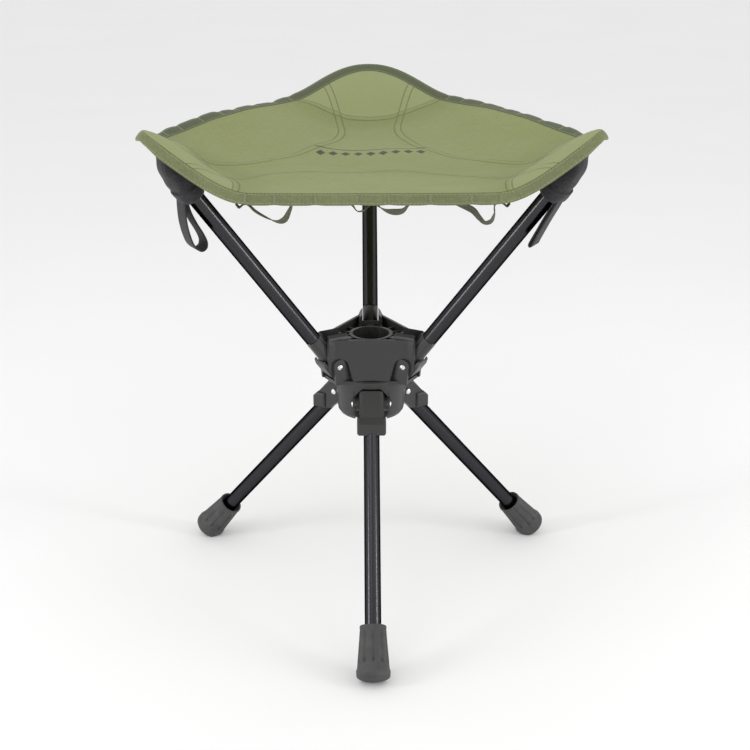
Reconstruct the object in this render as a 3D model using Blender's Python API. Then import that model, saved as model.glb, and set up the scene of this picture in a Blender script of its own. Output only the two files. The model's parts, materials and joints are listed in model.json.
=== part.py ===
"""Three-leg folding camp stool: a two-part plastic hub, three hinged arms that carry a
triangular fabric seat, and three hinged legs on rubber feet.

Lengths below are in millimetres and are turned into metres by MM. Heights are measured from the
floor. Azimuths are in degrees about +Z, with the front of the stool facing -Y.
"""

import math

import bmesh
import bpy
from mathutils import Matrix, Vector

MM = 0.001
CLEAR = 0.3  # gap between neighbouring pieces

# ---- layout -------------------------------------------------------------------------------
ARM_AZIMUTHS = (210.0, 330.0, 90.0)
LEG_AZIMUTHS = (270.0, 30.0, 150.0)
CENTRE_Y = -8.2  # the hub axis stands here, so that the origin is under the middle of the stool
HUB_Z = 195.6  # height of the hub's own zero, the underside of the lower hub

ARM_PIVOT_R = 44.9
ARM_PIVOT_Z = HUB_Z + 59.6
ARM_RISE = 53.0  # angle of an open arm above the floor
LEG_PIVOT_R = 33.5
LEG_PIVOT_Z = HUB_Z + 19.6
LEG_DROP = 48.9  # angle of an open leg below the horizontal

# ---- tubes and what plugs into them -----------------------------------------------------------
TUBE_R = 8.0
TUBE_BORE_R = 6.8
PLUG_R = 6.5
ARM_TUBE_START = 37.8
ARM_TUBE_END = 274.0
LEG_TUBE_START = 22.0
LEG_TUBE_END = 262.0
PIN_R = 2.0
PIN_BORE_R = 2.3
PIN_HEAD_R = 3.2
PIN_HEAD_H = 1.5

# ---- upper hub ----------------------------------------------------------------------------------
UPPER_BOTTOM = HUB_Z + 44.4
UPPER_TOP = HUB_Z + 88.0
FACE_IN_R = 34.6  # distance from the axis to a flat side face
CHEEK_S = 12.0  # half the width across a corner's cheeks
CHEEK_R = 56.0  # how far the cheeks reach
SLOT_S = 8.35
SLOT_R = 31.0
SLOT_FLOOR = HUB_Z + 46.7
WALL = 2.8
POCKET_FLOOR = HUB_Z + 50.0
RING_R = 22.3
RING_BORE_R = 18.8
RING_TOP = HUB_Z + 84.2
SADDLE_END_R = 60.5
SADDLE_S = 9.8

# ---- lower hub ----------------------------------------------------------------------------------
RIM_R = 38.0
CUP_R = 34.6
LOWER_TOP = HUB_Z + 44.0
ARCH_S = 16.1  # half the width of the arch that a leg knuckle swings in
ARCH_TOP = HUB_Z + 36.5
ARCH_R = 19.5
LUG_INNER_S = 12.35
LUG_OUTER_S = 15.2
LEG_LUG_S = 18.6

# ---- leg knuckle, as radius and height from the hub's zero --------------------------------------
KNUCKLE_S = 12.3
KNUCKLE_COLLAR_S = 14.6
KNUCKLE_BOSS_S = 15.7
KNUCKLE_SIDE = (
    (27.5, 12.0), (25.5, 21.0), (29.0, 30.0), (38.4, 35.2),
    (58.2, 11.6), (60.3, 8.0), (60.3, -3.0), (42.0, -3.0), (33.0, 6.0),
)
COLLAR_SIDE = ((47.5, 13.0), (57.0, 13.6), (62.4, 8.4), (62.4, -3.4), (47.5, -3.4))

# ---- seat ---------------------------------------------------------------------------------------
SEAT_CENTRE_Z = HUB_Z + 264.0
TIP_R = 236.5
TIP_Z = HUB_Z + 316.5
NOTCH_R = 178.0
NOTCH_S = 84.0
EDGE_IN_R = NOTCH_R * math.cos(math.radians(60)) + NOTCH_S * math.sin(math.radians(60))
BACK_EDGE_Z = HUB_Z + 288.0
FRONT_EDGE_Z = HUB_Z + 268.5
PANEL_THICK = 2.2
HEM_WIDTH = 11.0
HEM_THICK = 1.8

# ---- trim under the seat ------------------------------------------------------------------------
RIBBON_HALF = 4.0
RIBBON_THICK = 1.0
# (distance along the edge, drop below the hem): tacked flat between loops of several sizes
RIBBON_RUN = (
    (-110.0, 1.0), (-100.0, 6.0), (-88.0, 13.0), (-80.0, 14.5), (-75.0, 10.0), (-71.0, 1.0),
    (-24.0, 1.0), (-17.0, 8.0), (-10.0, 8.0), (-5.0, 1.0), (5.0, 7.0), (16.0, 9.0), (28.0, 6.0),
    (36.0, 1.0), (64.0, 1.0), (74.0, 6.0), (86.0, 14.0), (95.0, 16.0), (101.0, 11.0), (105.0, 1.0),
)
# (radius, height from the hub's zero) round a loop that hangs free
LOOP_HANGING = (
    (204.6, 245.0), (204.4, 228.0), (201.0, 211.0), (193.5, 200.6), (184.0, 200.4),
    (179.5, 208.0), (182.0, 221.0), (188.5, 232.0), (194.0, 238.6),
)
# the same loop lying against the underside of its arm
LOOP_TUCKED = (
    (204.6, 245.0), (196.0, 235.0), (187.0, 222.5), (179.5, 208.5), (175.0, 200.5),
    (169.5, 198.5), (165.5, 202.0), (168.5, 206.5), (176.0, 215.5), (184.0, 226.5), (192.5, 237.0),
)


def material(name, colour, roughness, metallic=0.0):
    made = bpy.data.materials.new(name)
    made.use_nodes = True
    shader = made.node_tree.nodes["Principled BSDF"]
    shader.inputs["Base Color"].default_value = (*colour, 1.0)
    shader.inputs["Roughness"].default_value = roughness
    shader.inputs["Metallic"].default_value = metallic
    return made


def clear_scene():
    for obj in list(bpy.data.objects):
        bpy.data.objects.remove(obj, do_unlink=True)


def add_object(name, bm, look, parent=None, smooth=True):
    """An object from bm, whose coordinates are millimetres in the object's own frame."""
    bmesh.ops.recalc_face_normals(bm, faces=bm.faces)
    bmesh.ops.scale(bm, vec=(MM, MM, MM), verts=bm.verts)
    mesh = bpy.data.meshes.new(name)
    bm.to_mesh(mesh)
    bm.free()
    if look:
        mesh.materials.append(look)
    obj = bpy.data.objects.new(name, mesh)
    bpy.context.scene.collection.objects.link(obj)
    if smooth:
        mesh.shade_smooth()
        mesh.set_sharp_from_angle(angle=math.radians(35))
    obj.parent = parent
    return obj


def add_pivot(name, radius, height, azimuth, tilt):
    """An empty on a hinge axis. Its Z runs along the tube and its Y along the hinge."""
    pivot = bpy.data.objects.new(name, None)
    bpy.context.scene.collection.objects.link(pivot)
    turn = math.radians(azimuth)
    pivot.location = (
        radius * math.cos(turn) * MM,
        (radius * math.sin(turn) + CENTRE_Y) * MM,
        height * MM,
    )
    pivot.rotation_euler = (0.0, math.radians(tilt), turn)
    pivot.empty_display_size = 0.02
    return pivot


def add_hub_frame():
    """An empty on the hub axis at floor height, which carries everything that doesn't swing."""
    frame = bpy.data.objects.new("hub_frame", None)
    bpy.context.scene.collection.objects.link(frame)
    frame.location = (0.0, CENTRE_Y * MM, 0.0)
    frame.empty_display_size = 0.05
    return frame


def add_loops(bm, loops, close_path=False):
    """Skins rings of points, each a closed loop of the same length, and caps the ends."""
    rings = [[bm.verts.new(p) for p in loop] for loop in loops]
    count = len(rings[0])
    pairs = list(zip(rings, rings[1:]))
    if close_path:
        pairs.append((rings[-1], rings[0]))
    for low, high in pairs:
        for i in range(count):
            j = (i + 1) % count
            bm.faces.new((low[i], low[j], high[j], high[i]))
    if not close_path:
        bm.faces.new(rings[0][::-1])
        bm.faces.new(rings[-1])


def circle(radius, height, steps, centre=(0.0, 0.0)):
    return [
        (
            centre[0] + radius * math.cos(math.tau * i / steps),
            centre[1] + radius * math.sin(math.tau * i / steps),
            height,
        )
        for i in range(steps)
    ]


def add_turned(bm, profile, steps=32, hollow=False):
    """A turned shape from (radius, height) pairs. A hollow one has a profile that is a loop."""
    add_loops(bm, [circle(r, z, steps) for r, z in profile], close_path=hollow)


def add_prism(bm, outline, low, high, matrix=None, bevel=0.0, segments=3):
    """An outline in X and Y raised from low to high, with its upright edges rounded."""
    verts = [bm.verts.new((x, y, low)) for x, y in outline]
    bottom = bm.faces.new(verts)
    raised = bmesh.ops.extrude_face_region(bm, geom=[bottom])["geom"]
    top = [v for v in raised if isinstance(v, bmesh.types.BMVert)]
    bmesh.ops.translate(bm, vec=(0, 0, high - low), verts=top)
    if bevel:
        upright = [
            e for v in verts for e in v.link_edges if abs(e.verts[0].co.z - e.verts[1].co.z) > 1e-6
        ]
        made = bmesh.ops.bevel(
            bm, geom=upright, offset=bevel, segments=segments, profile=0.5, affect="EDGES"
        )
        verts = {v for f in made["faces"] for v in f.verts} | {v for v in verts if v.is_valid}
        top = [v for v in top if v.is_valid]
    if matrix:
        bmesh.ops.transform(bm, matrix=matrix, verts=list(set(verts) | set(top)))


def add_box(bm, x, y, z, turn=0.0):
    """A box between pairs of limits, turned about Z by degrees."""
    spin = Matrix.Rotation(math.radians(turn), 4, "Z")
    corners = [(x[0], y[0]), (x[1], y[0]), (x[1], y[1]), (x[0], y[1])]
    loops = [[spin @ Vector((a, b, c)) for a, b in corners] for c in z]
    add_loops(bm, loops)


def add_side_prism(bm, outline, half_width, turn):
    """An outline in radius and height, thick across the radial plane at this azimuth."""
    spin = Matrix.Rotation(math.radians(turn), 4, "Z")
    loops = [[spin @ Vector((r, s, z)) for r, z in outline] for s in (-half_width, half_width)]
    add_loops(bm, loops)


def add_bar(bm, radius, length, centre, turn, steps=16):
    """A round bar across the radial plane at this azimuth. length is a pair of limits."""
    spin = Matrix.Rotation(math.radians(turn), 4, "Z")
    loops = []
    for s in length:
        ring = circle(radius, 0.0, steps, centre)
        loops.append([spin @ Vector((r, s, z)) for r, z, _ in ring])
    add_loops(bm, loops)


def boolean(target, tool, operation, overlapping=False):
    tool.hide_render = True
    tool.display_type = "WIRE"
    modifier = target.modifiers.new(tool.name, "BOOLEAN")
    modifier.operation = operation
    modifier.solver = "EXACT"
    modifier.use_self = overlapping
    modifier.object = tool


def tool(name, parent=None):
    """A decorator: builds the helper shape that the function below it fills in."""

    def build(fill):
        bm = bmesh.new()
        fill(bm)
        return add_object(name, bm, None, parent, smooth=False)

    return build


# ---- upper hub ------------------------------------------------------------------------------


def corner_points(cheek_s, cheek_r, face_in_r):
    """The plan outline of the hub: three flat faces joined by parallel-sided corners."""
    bend_r = (face_in_r - cheek_s * math.sin(math.radians(60))) / math.cos(math.radians(60))
    points = []
    for azimuth in sorted(ARM_AZIMUTHS):
        spin = Matrix.Rotation(math.radians(azimuth), 2)
        for r, s in (
            (bend_r, -cheek_s), (cheek_r, -cheek_s), (cheek_r, cheek_s), (bend_r, cheek_s)
        ):
            points.append(tuple(spin @ Vector((r, s))))
    return points


def arm_line(radius, offset=0.0):
    """Height of an open arm's axis at this radius, moved square to the arm by offset."""
    rise = math.radians(ARM_RISE)
    return ARM_PIVOT_Z + (radius - ARM_PIVOT_R) * math.tan(rise) + offset / math.cos(rise)


def saddle_outline():
    """Side view of the tongue that an open arm rests on."""
    end_r = SADDLE_END_R
    under = -11.6
    lip = -TUBE_R + 0.4
    return (
        (44.0, UPPER_BOTTOM + 0.5), (47.0, UPPER_BOTTOM + 0.5), (51.0, arm_line(51.0, under)),
        (end_r - 1.5, arm_line(end_r - 1.5, under)), (end_r, arm_line(end_r, -10.0)),
        (end_r - 1.2, arm_line(end_r - 1.2, lip)), (44.0, arm_line(44.0, lip)),
    )


def make_upper_hub(look, parent):
    bm = bmesh.new()
    outline = corner_points(CHEEK_S, CHEEK_R, FACE_IN_R)
    add_prism(bm, outline, UPPER_BOTTOM, UPPER_TOP, bevel=2.6)
    hub = add_object("upper_hub", bm, look, parent)

    @tool("upper_hub_hollow", parent)
    def hollow(bm):
        inner = corner_points(CHEEK_S - WALL, CHEEK_R - WALL, FACE_IN_R - WALL)
        add_prism(bm, inner, POCKET_FLOOR, UPPER_TOP + 20)

    @tool("upper_hub_ribs", parent)
    def ribs(bm):
        low = POCKET_FLOOR - 2
        add_turned(bm, [(RING_R, low), (RING_R, RING_TOP)], steps=40)
        for azimuth in ARM_AZIMUTHS:
            add_box(bm, (30.0, 50.0), (-11.6, 11.6), (low, UPPER_TOP - 1.0), azimuth)
            add_box(bm, (RING_R - 2, 31.0), (-3.3, 3.3), (low, RING_TOP - 0.6), azimuth)
            for lean, reach in ((-22.0, 31.2), (22.0, 31.2), (47.0, 34.0), (73.0, 34.0)):
                add_box(bm, (20.0, reach), (-1.0, 1.0), (low, RING_TOP - 1.0), azimuth + lean)

    @tool("upper_hub_ears", parent)
    def ears(bm):
        for azimuth in ARM_AZIMUTHS:
            spin = Matrix.Rotation(math.radians(azimuth), 4, "Z")
            arch = [(-CHEEK_S - 0.3, UPPER_TOP - 12), (CHEEK_S + 0.3, UPPER_TOP - 12)]
            for i in range(13):
                turn = math.radians(180 * i / 12)
                arch.append(((CHEEK_S + 0.3) * math.cos(turn), UPPER_TOP - 4 + 12.3 * math.sin(turn)))
            loops = [[spin @ Vector((r, s, z)) for s, z in arch] for r in (33.0, CHEEK_R - 0.6)]
            add_loops(bm, loops)

    @tool("upper_hub_saddles", parent)
    def saddles(bm):
        for azimuth in ARM_AZIMUTHS:
            add_side_prism(bm, saddle_outline(), SADDLE_S, azimuth)

    @tool("upper_hub_slots", parent)
    def slots(bm):
        step_r = 51.0
        rest = -TUBE_R - 0.4
        side = (
            (SLOT_R, SLOT_FLOOR), (step_r, SLOT_FLOOR), (step_r, arm_line(step_r, rest)),
            (75.0, arm_line(75.0, rest)), (75.0, UPPER_TOP + 30), (SLOT_R, UPPER_TOP + 30),
        )
        for azimuth in ARM_AZIMUTHS:
            add_side_prism(bm, side, SLOT_S, azimuth)

    @tool("upper_hub_undercuts", parent)
    def undercuts(bm):
        side = (
            (46.5, UPPER_BOTTOM - 2), (46.5, arm_line(46.5, -10.8)), (62.0, arm_line(62.0, -10.8)),
            (70.0, arm_line(62.0, -10.8)), (70.0, UPPER_BOTTOM - 2),
        )
        for azimuth in ARM_AZIMUTHS:
            add_side_prism(bm, side, 20.0, azimuth)

    @tool("upper_hub_bores", parent)
    def bores(bm):
        add_turned(bm, [(RING_BORE_R, HUB_Z + 60), (RING_BORE_R, UPPER_TOP + 20)], steps=44)

    @tool("upper_hub_well", parent)
    def well(bm):
        add_turned(bm, [(12.5, HUB_Z + 50), (12.5, HUB_Z + 62)], steps=28)

    @tool("upper_hub_screw_hole", parent)
    def screw_hole(bm):
        add_turned(bm, [(2.9, UPPER_BOTTOM - 5), (2.9, HUB_Z + 52)], steps=20)

    @tool("upper_hub_lug_seats", parent)
    def lug_seats(bm):
        for azimuth in ARM_AZIMUTHS:
            for side in (-1, 1):
                add_lug(bm, azimuth, side, CLEAR, 30.0)

    @tool("upper_hub_pin_bores", parent)
    def pin_bores(bm):
        for azimuth in ARM_AZIMUTHS:
            add_bar(bm, PIN_BORE_R, (-40.0, 40.0), (ARM_PIVOT_R, ARM_PIVOT_Z), azimuth)

    boolean(hub, hollow, "DIFFERENCE")
    boolean(hub, ribs, "UNION", overlapping=True)
    boolean(hub, ears, "UNION")
    boolean(hub, undercuts, "DIFFERENCE")
    boolean(hub, saddles, "UNION")
    for cut in (slots, bores, well, screw_hole, lug_seats, pin_bores):
        boolean(hub, cut, "DIFFERENCE")
    return hub


def add_lug(bm, azimuth, side, grow, outer=None):
    """A plate of the lower hub that stands beside one cheek and holds one end of an arm pin."""
    spin = Matrix.Rotation(math.radians(azimuth), 4, "Z")
    low = LOWER_TOP - 3.0
    radius = 7.2 + grow
    outline = [(ARM_PIVOT_R - 12.5 - grow, low), (ARM_PIVOT_R + 4.5 + grow, low)]
    for i in range(11):
        turn = math.radians(-10 + 180 * i / 10)
        outline.append(
            (ARM_PIVOT_R - 0.5 + radius * math.cos(turn), ARM_PIVOT_Z + 1 + radius * math.sin(turn))
        )
    inner_s = LUG_INNER_S - grow
    outer_s = outer or LUG_OUTER_S
    loops = [[spin @ Vector((r, side * s, z)) for r, z in outline] for s in (inner_s, outer_s)]
    add_loops(bm, loops)


# ---- lower hub ------------------------------------------------------------------------------


def make_lower_hub(look, parent):
    bm = bmesh.new()
    cup = [
        (0.01, HUB_Z + 30), (9.0, HUB_Z + 30), (9.0, HUB_Z - 0.6), (27.5, HUB_Z - 1.0),
        (31.5, HUB_Z + 0.6), (33.8, HUB_Z + 4.0), (CUP_R, HUB_Z + 9.0), (37.1, HUB_Z + 36),
        (RIM_R, HUB_Z + 41), (RIM_R, LOWER_TOP - 1.2), (RIM_R - 1.2, LOWER_TOP), (0.01, LOWER_TOP),
    ]
    add_turned(bm, cup, steps=54)
    hub = add_object("lower_hub", bm, look, parent)

    @tool("lower_hub_flange", parent)
    def flange(bm):
        outline = corner_points(CHEEK_S + 0.4, 48.2, FACE_IN_R - 0.4)
        add_prism(bm, outline, LOWER_TOP - 3.4, LOWER_TOP - 0.02, bevel=2.6)

    @tool("lower_hub_arm_lugs", parent)
    def arm_lugs(bm):
        for azimuth in ARM_AZIMUTHS:
            for side in (-1, 1):
                add_lug(bm, azimuth, side, 0.0)

    @tool("lower_hub_leg_lugs", parent)
    def leg_lugs(bm):
        for azimuth in LEG_AZIMUTHS:
            spin = Matrix.Rotation(math.radians(azimuth), 4, "Z")
            outline = [(25.0, HUB_Z + 9.0), (36.0, HUB_Z + 8.6)]
            for i in range(9):
                turn = math.radians(-50 + 140 * i / 8)
                outline.append(
                    (
                        LEG_PIVOT_R + 0.4 + 6.6 * math.cos(turn),
                        LEG_PIVOT_Z + 0.6 + 7.4 * math.sin(turn),
                    )
                )
            outline += [(30.0, HUB_Z + 40.0), (25.0, HUB_Z + 40.0)]
            for side in (-1, 1):
                loops = [
                    [spin @ Vector((r, side * s, z)) for r, z in outline]
                    for s in (ARCH_S - 1.0, LEG_LUG_S)
                ]
                add_loops(bm, loops)

    @tool("lower_hub_arches", parent)
    def arches(bm):
        for azimuth in LEG_AZIMUTHS:
            spin = Matrix.Rotation(math.radians(azimuth), 4, "Z")
            arch = [
                (-ARCH_S, HUB_Z - 10), (ARCH_S, HUB_Z - 10), (ARCH_S, ARCH_TOP - 8.5),
                (ARCH_S - 5.5, ARCH_TOP - 1.6), (ARCH_S - 8.5, ARCH_TOP),
                (8.5 - ARCH_S, ARCH_TOP), (5.5 - ARCH_S, ARCH_TOP - 1.6), (-ARCH_S, ARCH_TOP - 8.5),
            ]
            loops = [[spin @ Vector((r, s, z)) for s, z in arch] for r in (ARCH_R, 60.0)]
            add_loops(bm, loops)

    @tool("lower_hub_pin_bores", parent)
    def pin_bores(bm):
        for azimuth in ARM_AZIMUTHS:
            add_bar(bm, PIN_BORE_R, (-40.0, 40.0), (ARM_PIVOT_R, ARM_PIVOT_Z), azimuth)
        for azimuth in LEG_AZIMUTHS:
            add_bar(bm, PIN_BORE_R, (-25.0, 25.0), (LEG_PIVOT_R, LEG_PIVOT_Z), azimuth)

    @tool("lower_hub_pin_recesses", parent)
    def recesses(bm):
        for azimuth in LEG_AZIMUTHS:
            for limits in ((-30.0, -LEG_LUG_S), (LEG_LUG_S, 30.0)):
                add_bar(bm, 4.8, limits, (LEG_PIVOT_R, LEG_PIVOT_Z), azimuth)

    @tool("lower_hub_screw_hole", parent)
    def screw_hole(bm):
        add_turned(bm, [(2.9, HUB_Z + 20), (2.9, LOWER_TOP + 4)], steps=20)

    boolean(hub, flange, "UNION")
    boolean(hub, arm_lugs, "UNION")
    boolean(hub, leg_lugs, "UNION")
    for cut in (arches, pin_bores, recesses, screw_hole):
        boolean(hub, cut, "DIFFERENCE")
    return hub


# ---- pins and screw -------------------------------------------------------------------------


def make_pin(name, look, pivot, half_span):
    """A rivet along the hinge, with a domed head at each end."""
    head = half_span + CLEAR
    dome = ((PIN_HEAD_R, 0.0), (PIN_HEAD_R * 0.8, 0.65 * PIN_HEAD_H), (0.8, PIN_HEAD_H))
    side = [(r, -head - z) for r, z in reversed(dome)]
    side += [(PIN_R, -head), (PIN_R, head)]
    side += [(r, head + z) for r, z in dome]
    bm = bmesh.new()
    add_turned(bm, side, steps=16)
    pin = add_object(name, bm, look, pivot)
    pin.rotation_euler = (math.radians(90), 0.0, 0.0)
    return pin


def make_hub_screw(look, parent):
    base = HUB_Z + 50.0 + CLEAR
    side = [(1.0, HUB_Z + 21), (2.5, HUB_Z + 22.5), (2.5, base), (5.0, base), (5.0, base + 1.6)]
    side += [(4.0, base + 2.8), (1.9, base + 3.2), (1.7, base + 1.2)]
    bm = bmesh.new()
    add_turned(bm, side, steps=18)
    return add_object("hub_screw", bm, look, parent)


# ---- arms -----------------------------------------------------------------------------------


def make_tube(name, look, pivot, start, end):
    lip = 0.4
    side = [
        (TUBE_BORE_R, start), (TUBE_R - lip, start), (TUBE_R, start + lip), (TUBE_R, end - lip),
        (TUBE_R - lip, end), (TUBE_BORE_R, end),
    ]
    bm = bmesh.new()
    add_turned(bm, side, steps=20, hollow=True)
    return add_object(name, bm, look, pivot)


def make_arm_knuckle(name, look, pivot):
    """The plastic end of an arm. Its plug goes into the tube and the pin goes through its eye."""
    bm = bmesh.new()
    half = 7.9
    end = ARM_TUBE_START - CLEAR
    outline = [(half, 0.0)]
    for i in range(1, 12):
        turn = math.radians(-180 * i / 12)
        outline.append((half * math.cos(turn), 1.15 * half * math.sin(turn)))
    outline += [(-half, 0.0), (-half, end - 4), (-half + 1.2, end), (half - 1.2, end), (half, end - 4)]
    spread = [[Vector((x, s, w)) for x, w in outline] for s in (-half, half)]
    add_loops(bm, spread)
    knuckle = add_object(name, bm, look, pivot)

    @tool(name + "_plug", pivot)
    def plug(bm):
        add_turned(bm, [(PLUG_R, end - 3), (PLUG_R, end + 20), (PLUG_R - 1, end + 21)], steps=22)

    @tool(name + "_round", pivot)
    def rounding(bm):
        add_turned(bm, [(8.35, -20.0), (8.35, 80.0)], steps=32)

    @tool(name + "_rib", pivot)
    def rib(bm):
        add_box(bm, (-half - 1.6, -half + 2.0), (-3.2, 3.2), (-2.0, end - 0.8))

    @tool(name + "_eye", pivot)
    def eye(bm):
        add_bar(bm, PIN_BORE_R, (-12.0, 12.0), (0.0, 0.0), 0.0)

    boolean(knuckle, plug, "UNION")
    boolean(knuckle, rounding, "INTERSECT")
    boolean(knuckle, rib, "UNION")
    boolean(knuckle, eye, "DIFFERENCE")
    return knuckle


def make_arm_cap(name, look, pivot):
    end = ARM_TUBE_END
    side = [
        (PLUG_R - 1, end - 16), (PLUG_R, end - 15), (PLUG_R, end + CLEAR), (TUBE_R, end + CLEAR),
        (TUBE_R, end + 1.6), (TUBE_R - 1.6, end + 3.6), (TUBE_R - 4.5, end + 4.6), (1.0, end + 4.8),
    ]
    bm = bmesh.new()
    add_turned(bm, side, steps=22)
    return add_object(name, bm, look, pivot)


def make_pocket(name, look, pivot):
    """The webbing sleeve on an arm's tip: oval outside, round inside, pinched flat at its top."""
    mouth = 241.0
    sizes = (
        (mouth, 11.6, 18.5), (mouth + 14, 11.4, 17.6), (mouth + 27, 10.6, 16.0),
        (ARM_TUBE_END + 6.0, 9.6, 13.0), (ARM_TUBE_END + 11.0, 6.5, 11.0),
        (ARM_TUBE_END + 16.0, 3.0, 9.5), (ARM_TUBE_END + 29.0, 1.2, 8.5),
    )
    steps = 26
    loops = []
    for w, x, y in sizes:
        loops.append([(x / 10 * a, y / 10 * b, w) for a, b, _ in circle(10.0, 0.0, steps)])
    bm = bmesh.new()
    add_loops(bm, loops)
    pocket = add_object(name, bm, look, pivot)

    @tool(name + "_bore", pivot)
    def bore(bm):
        add_turned(bm, [(TUBE_R + CLEAR, mouth - 10), (TUBE_R + CLEAR, ARM_TUBE_END + 5.1)], steps=26)

    boolean(pocket, bore, "DIFFERENCE")
    return pocket


def add_strip(bm, path, half_width, thickness, across):
    """A flat strip along a path of points, with its width along the unit vector across."""
    across = Vector(across)
    points = [Vector(p) for p in path]
    loops = []
    for i, point in enumerate(points):
        ahead = points[min(i + 1, len(points) - 1)] - points[max(i - 1, 0)]
        normal = ahead.cross(across).normalized() * (thickness / 2)
        loops.append(
            [
                point + across * half_width + normal,
                point - across * half_width + normal,
                point - across * half_width - normal,
                point + across * half_width - normal,
            ]
        )
    add_loops(bm, loops)


def smooth_path(points, per_leg=4):
    """Points on a Catmull-Rom curve through these."""
    points = [Vector(p) for p in points]
    ends = [points[0] * 2 - points[1], *points, points[-1] * 2 - points[-2]]
    made = []
    for i in range(1, len(ends) - 2):
        before, here, there, after = ends[i - 1 : i + 3]
        for j in range(per_leg):
            t = j / per_leg
            made.append(
                0.5
                * (
                    2 * here
                    + (there - before) * t
                    + (2 * before - 5 * here + 4 * there - after) * t * t
                    + (3 * here - before - 3 * there + after) * t**3
                )
            )
    made.append(points[-1])
    return made


def make_pull_loop(name, look, pivot, side_view):
    """A webbing loop sewn to the mouth of an arm's pocket."""
    rise = math.radians(ARM_RISE)
    path = []
    for point in smooth_path([(r, z, 0.0) for r, z in side_view], per_leg=3):
        dr = point.x - ARM_PIVOT_R
        dz = point.y + HUB_Z - ARM_PIVOT_Z
        along = dr * math.cos(rise) + dz * math.sin(rise)
        outward = dr * math.sin(rise) - dz * math.cos(rise)
        path.append((outward, 0.0, along))
    bm = bmesh.new()
    add_strip(bm, path, 11.0, 1.6, (0.0, 1.0, 0.0))
    return add_object(name, bm, look, pivot)


# ---- legs -----------------------------------------------------------------------------------


def leg_local(radius, height):
    """A point of the radial plane, given from the hub's zero, in a leg pivot's X and Z."""
    drop = math.radians(LEG_DROP)
    dr = radius - LEG_PIVOT_R
    dz = height + HUB_Z - LEG_PIVOT_Z
    along = dr * math.cos(drop) - dz * math.sin(drop)
    inward = -dr * math.sin(drop) - dz * math.cos(drop)
    return inward, along


def add_leg_plate(bm, outline, half_width, bevel):
    """A side outline made thick across the leg's plane, with its long outer edges rounded."""
    loops = [[(x, s, w) for x, w in outline] for s in (-half_width, half_width)]
    add_loops(bm, loops)
    if bevel:
        outer = [e for e in bm.edges if abs(e.verts[0].co.y - e.verts[1].co.y) < 1e-6]
        outer = [e for e in outer if min(v.co.x for v in e.verts) < -6 or min(v.co.z for v in e.verts) > 25]
        bmesh.ops.bevel(bm, geom=outer, offset=bevel, segments=3, profile=0.5, affect="EDGES")


def make_leg_knuckle(name, look, pivot):
    """The boxed plastic socket at the top of a leg, which swings in an arch of the lower hub."""
    bm = bmesh.new()
    add_leg_plate(bm, [leg_local(r, z) for r, z in KNUCKLE_SIDE], KNUCKLE_S, 3.6)
    knuckle = add_object(name, bm, look, pivot)

    @tool(name + "_collar", pivot)
    def collar(bm):
        add_leg_plate(bm, [leg_local(r, z) for r, z in COLLAR_SIDE], KNUCKLE_COLLAR_S, 2.4)

    @tool(name + "_boss", pivot)
    def boss(bm):
        add_bar(bm, 7.0, (-KNUCKLE_BOSS_S, KNUCKLE_BOSS_S), (0.0, 0.0), 0.0, steps=24)

    @tool(name + "_socket", pivot)
    def socket(bm):
        add_turned(bm, [(TUBE_R + CLEAR, LEG_TUBE_START - 1), (TUBE_R + CLEAR, 90.0)], steps=26)

    @tool(name + "_eye", pivot)
    def eye(bm):
        add_bar(bm, PIN_BORE_R, (-25.0, 25.0), (0.0, 0.0), 0.0)

    boolean(knuckle, collar, "UNION")
    boolean(knuckle, boss, "UNION")
    boolean(knuckle, socket, "DIFFERENCE")
    boolean(knuckle, eye, "DIFFERENCE")
    return knuckle


def make_foot(name, look, pivot, floor):
    """A fluted rubber foot pushed over the end of a leg, with the ground face cut level."""
    top = 226.0
    side = (
        (12.4, 0.0), (12.7, 3.0), (13.5, 14.0), (14.6, 28.0), (15.2, 33.0),
        (16.3, 40.0), (16.1, 46.0), (14.2, 49.5), (10.0, 51.5), (1.0, 52.3),
    )
    inner = ((1.0, 37.5), (8.3, 37.5), (8.3, 5.5), (10.6, 0.0))
    flutes = 10
    steps = 30
    loops = []
    for r, w in side:
        fluted = 3.0 <= w <= 28.0
        ring = []
        for i in range(steps):
            turn = math.tau * i / steps
            sunk = 0.9 * max(0.0, math.cos(flutes * turn)) if fluted else 0.0
            ring.append(((r - sunk) * math.cos(turn), (r - sunk) * math.sin(turn), top + w))
        loops.append(ring)
    loops = [circle(r, top + w, steps) for r, w in inner] + loops
    bm = bmesh.new()
    add_loops(bm, loops)
    foot = add_object(name, bm, look, pivot)
    boolean(foot, floor, "DIFFERENCE")
    return foot


# ---- seat -----------------------------------------------------------------------------------


def off_corner(azimuth):
    """Degrees from this azimuth to the nearest arm's."""
    return min(abs((azimuth - a + 180) % 360 - 180) for a in ARM_AZIMUTHS)


def smooth(t):
    t = min(1.0, max(0.0, t))
    return t * t * (3 - 2 * t)


def edge_radius(azimuth):
    """Plan radius of the panel's edge: blunted tips joined to long edges through blunt bends."""
    lean = math.radians(off_corner(azimuth))
    tip = TIP_R + 6.0
    reach_tip = tip * NOTCH_S / (math.sin(lean) * (tip - NOTCH_R) + math.cos(lean) * NOTCH_S)
    reach_edge = EDGE_IN_R / math.cos(math.radians(60) - lean)
    return min(reach_tip, reach_edge, TIP_R)


def edge_height(azimuth):
    """Height of the panel's edge. The front edge hangs lower than the other two."""
    off_front = abs(azimuth - 270.0)
    low = BACK_EDGE_Z + (FRONT_EDGE_Z - BACK_EDGE_Z) * smooth((60.0 - off_front) / 22.0)
    share = 1 - smooth(off_corner(azimuth) / 28.0) ** 1.6
    return low + (TIP_Z - low) * share


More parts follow.
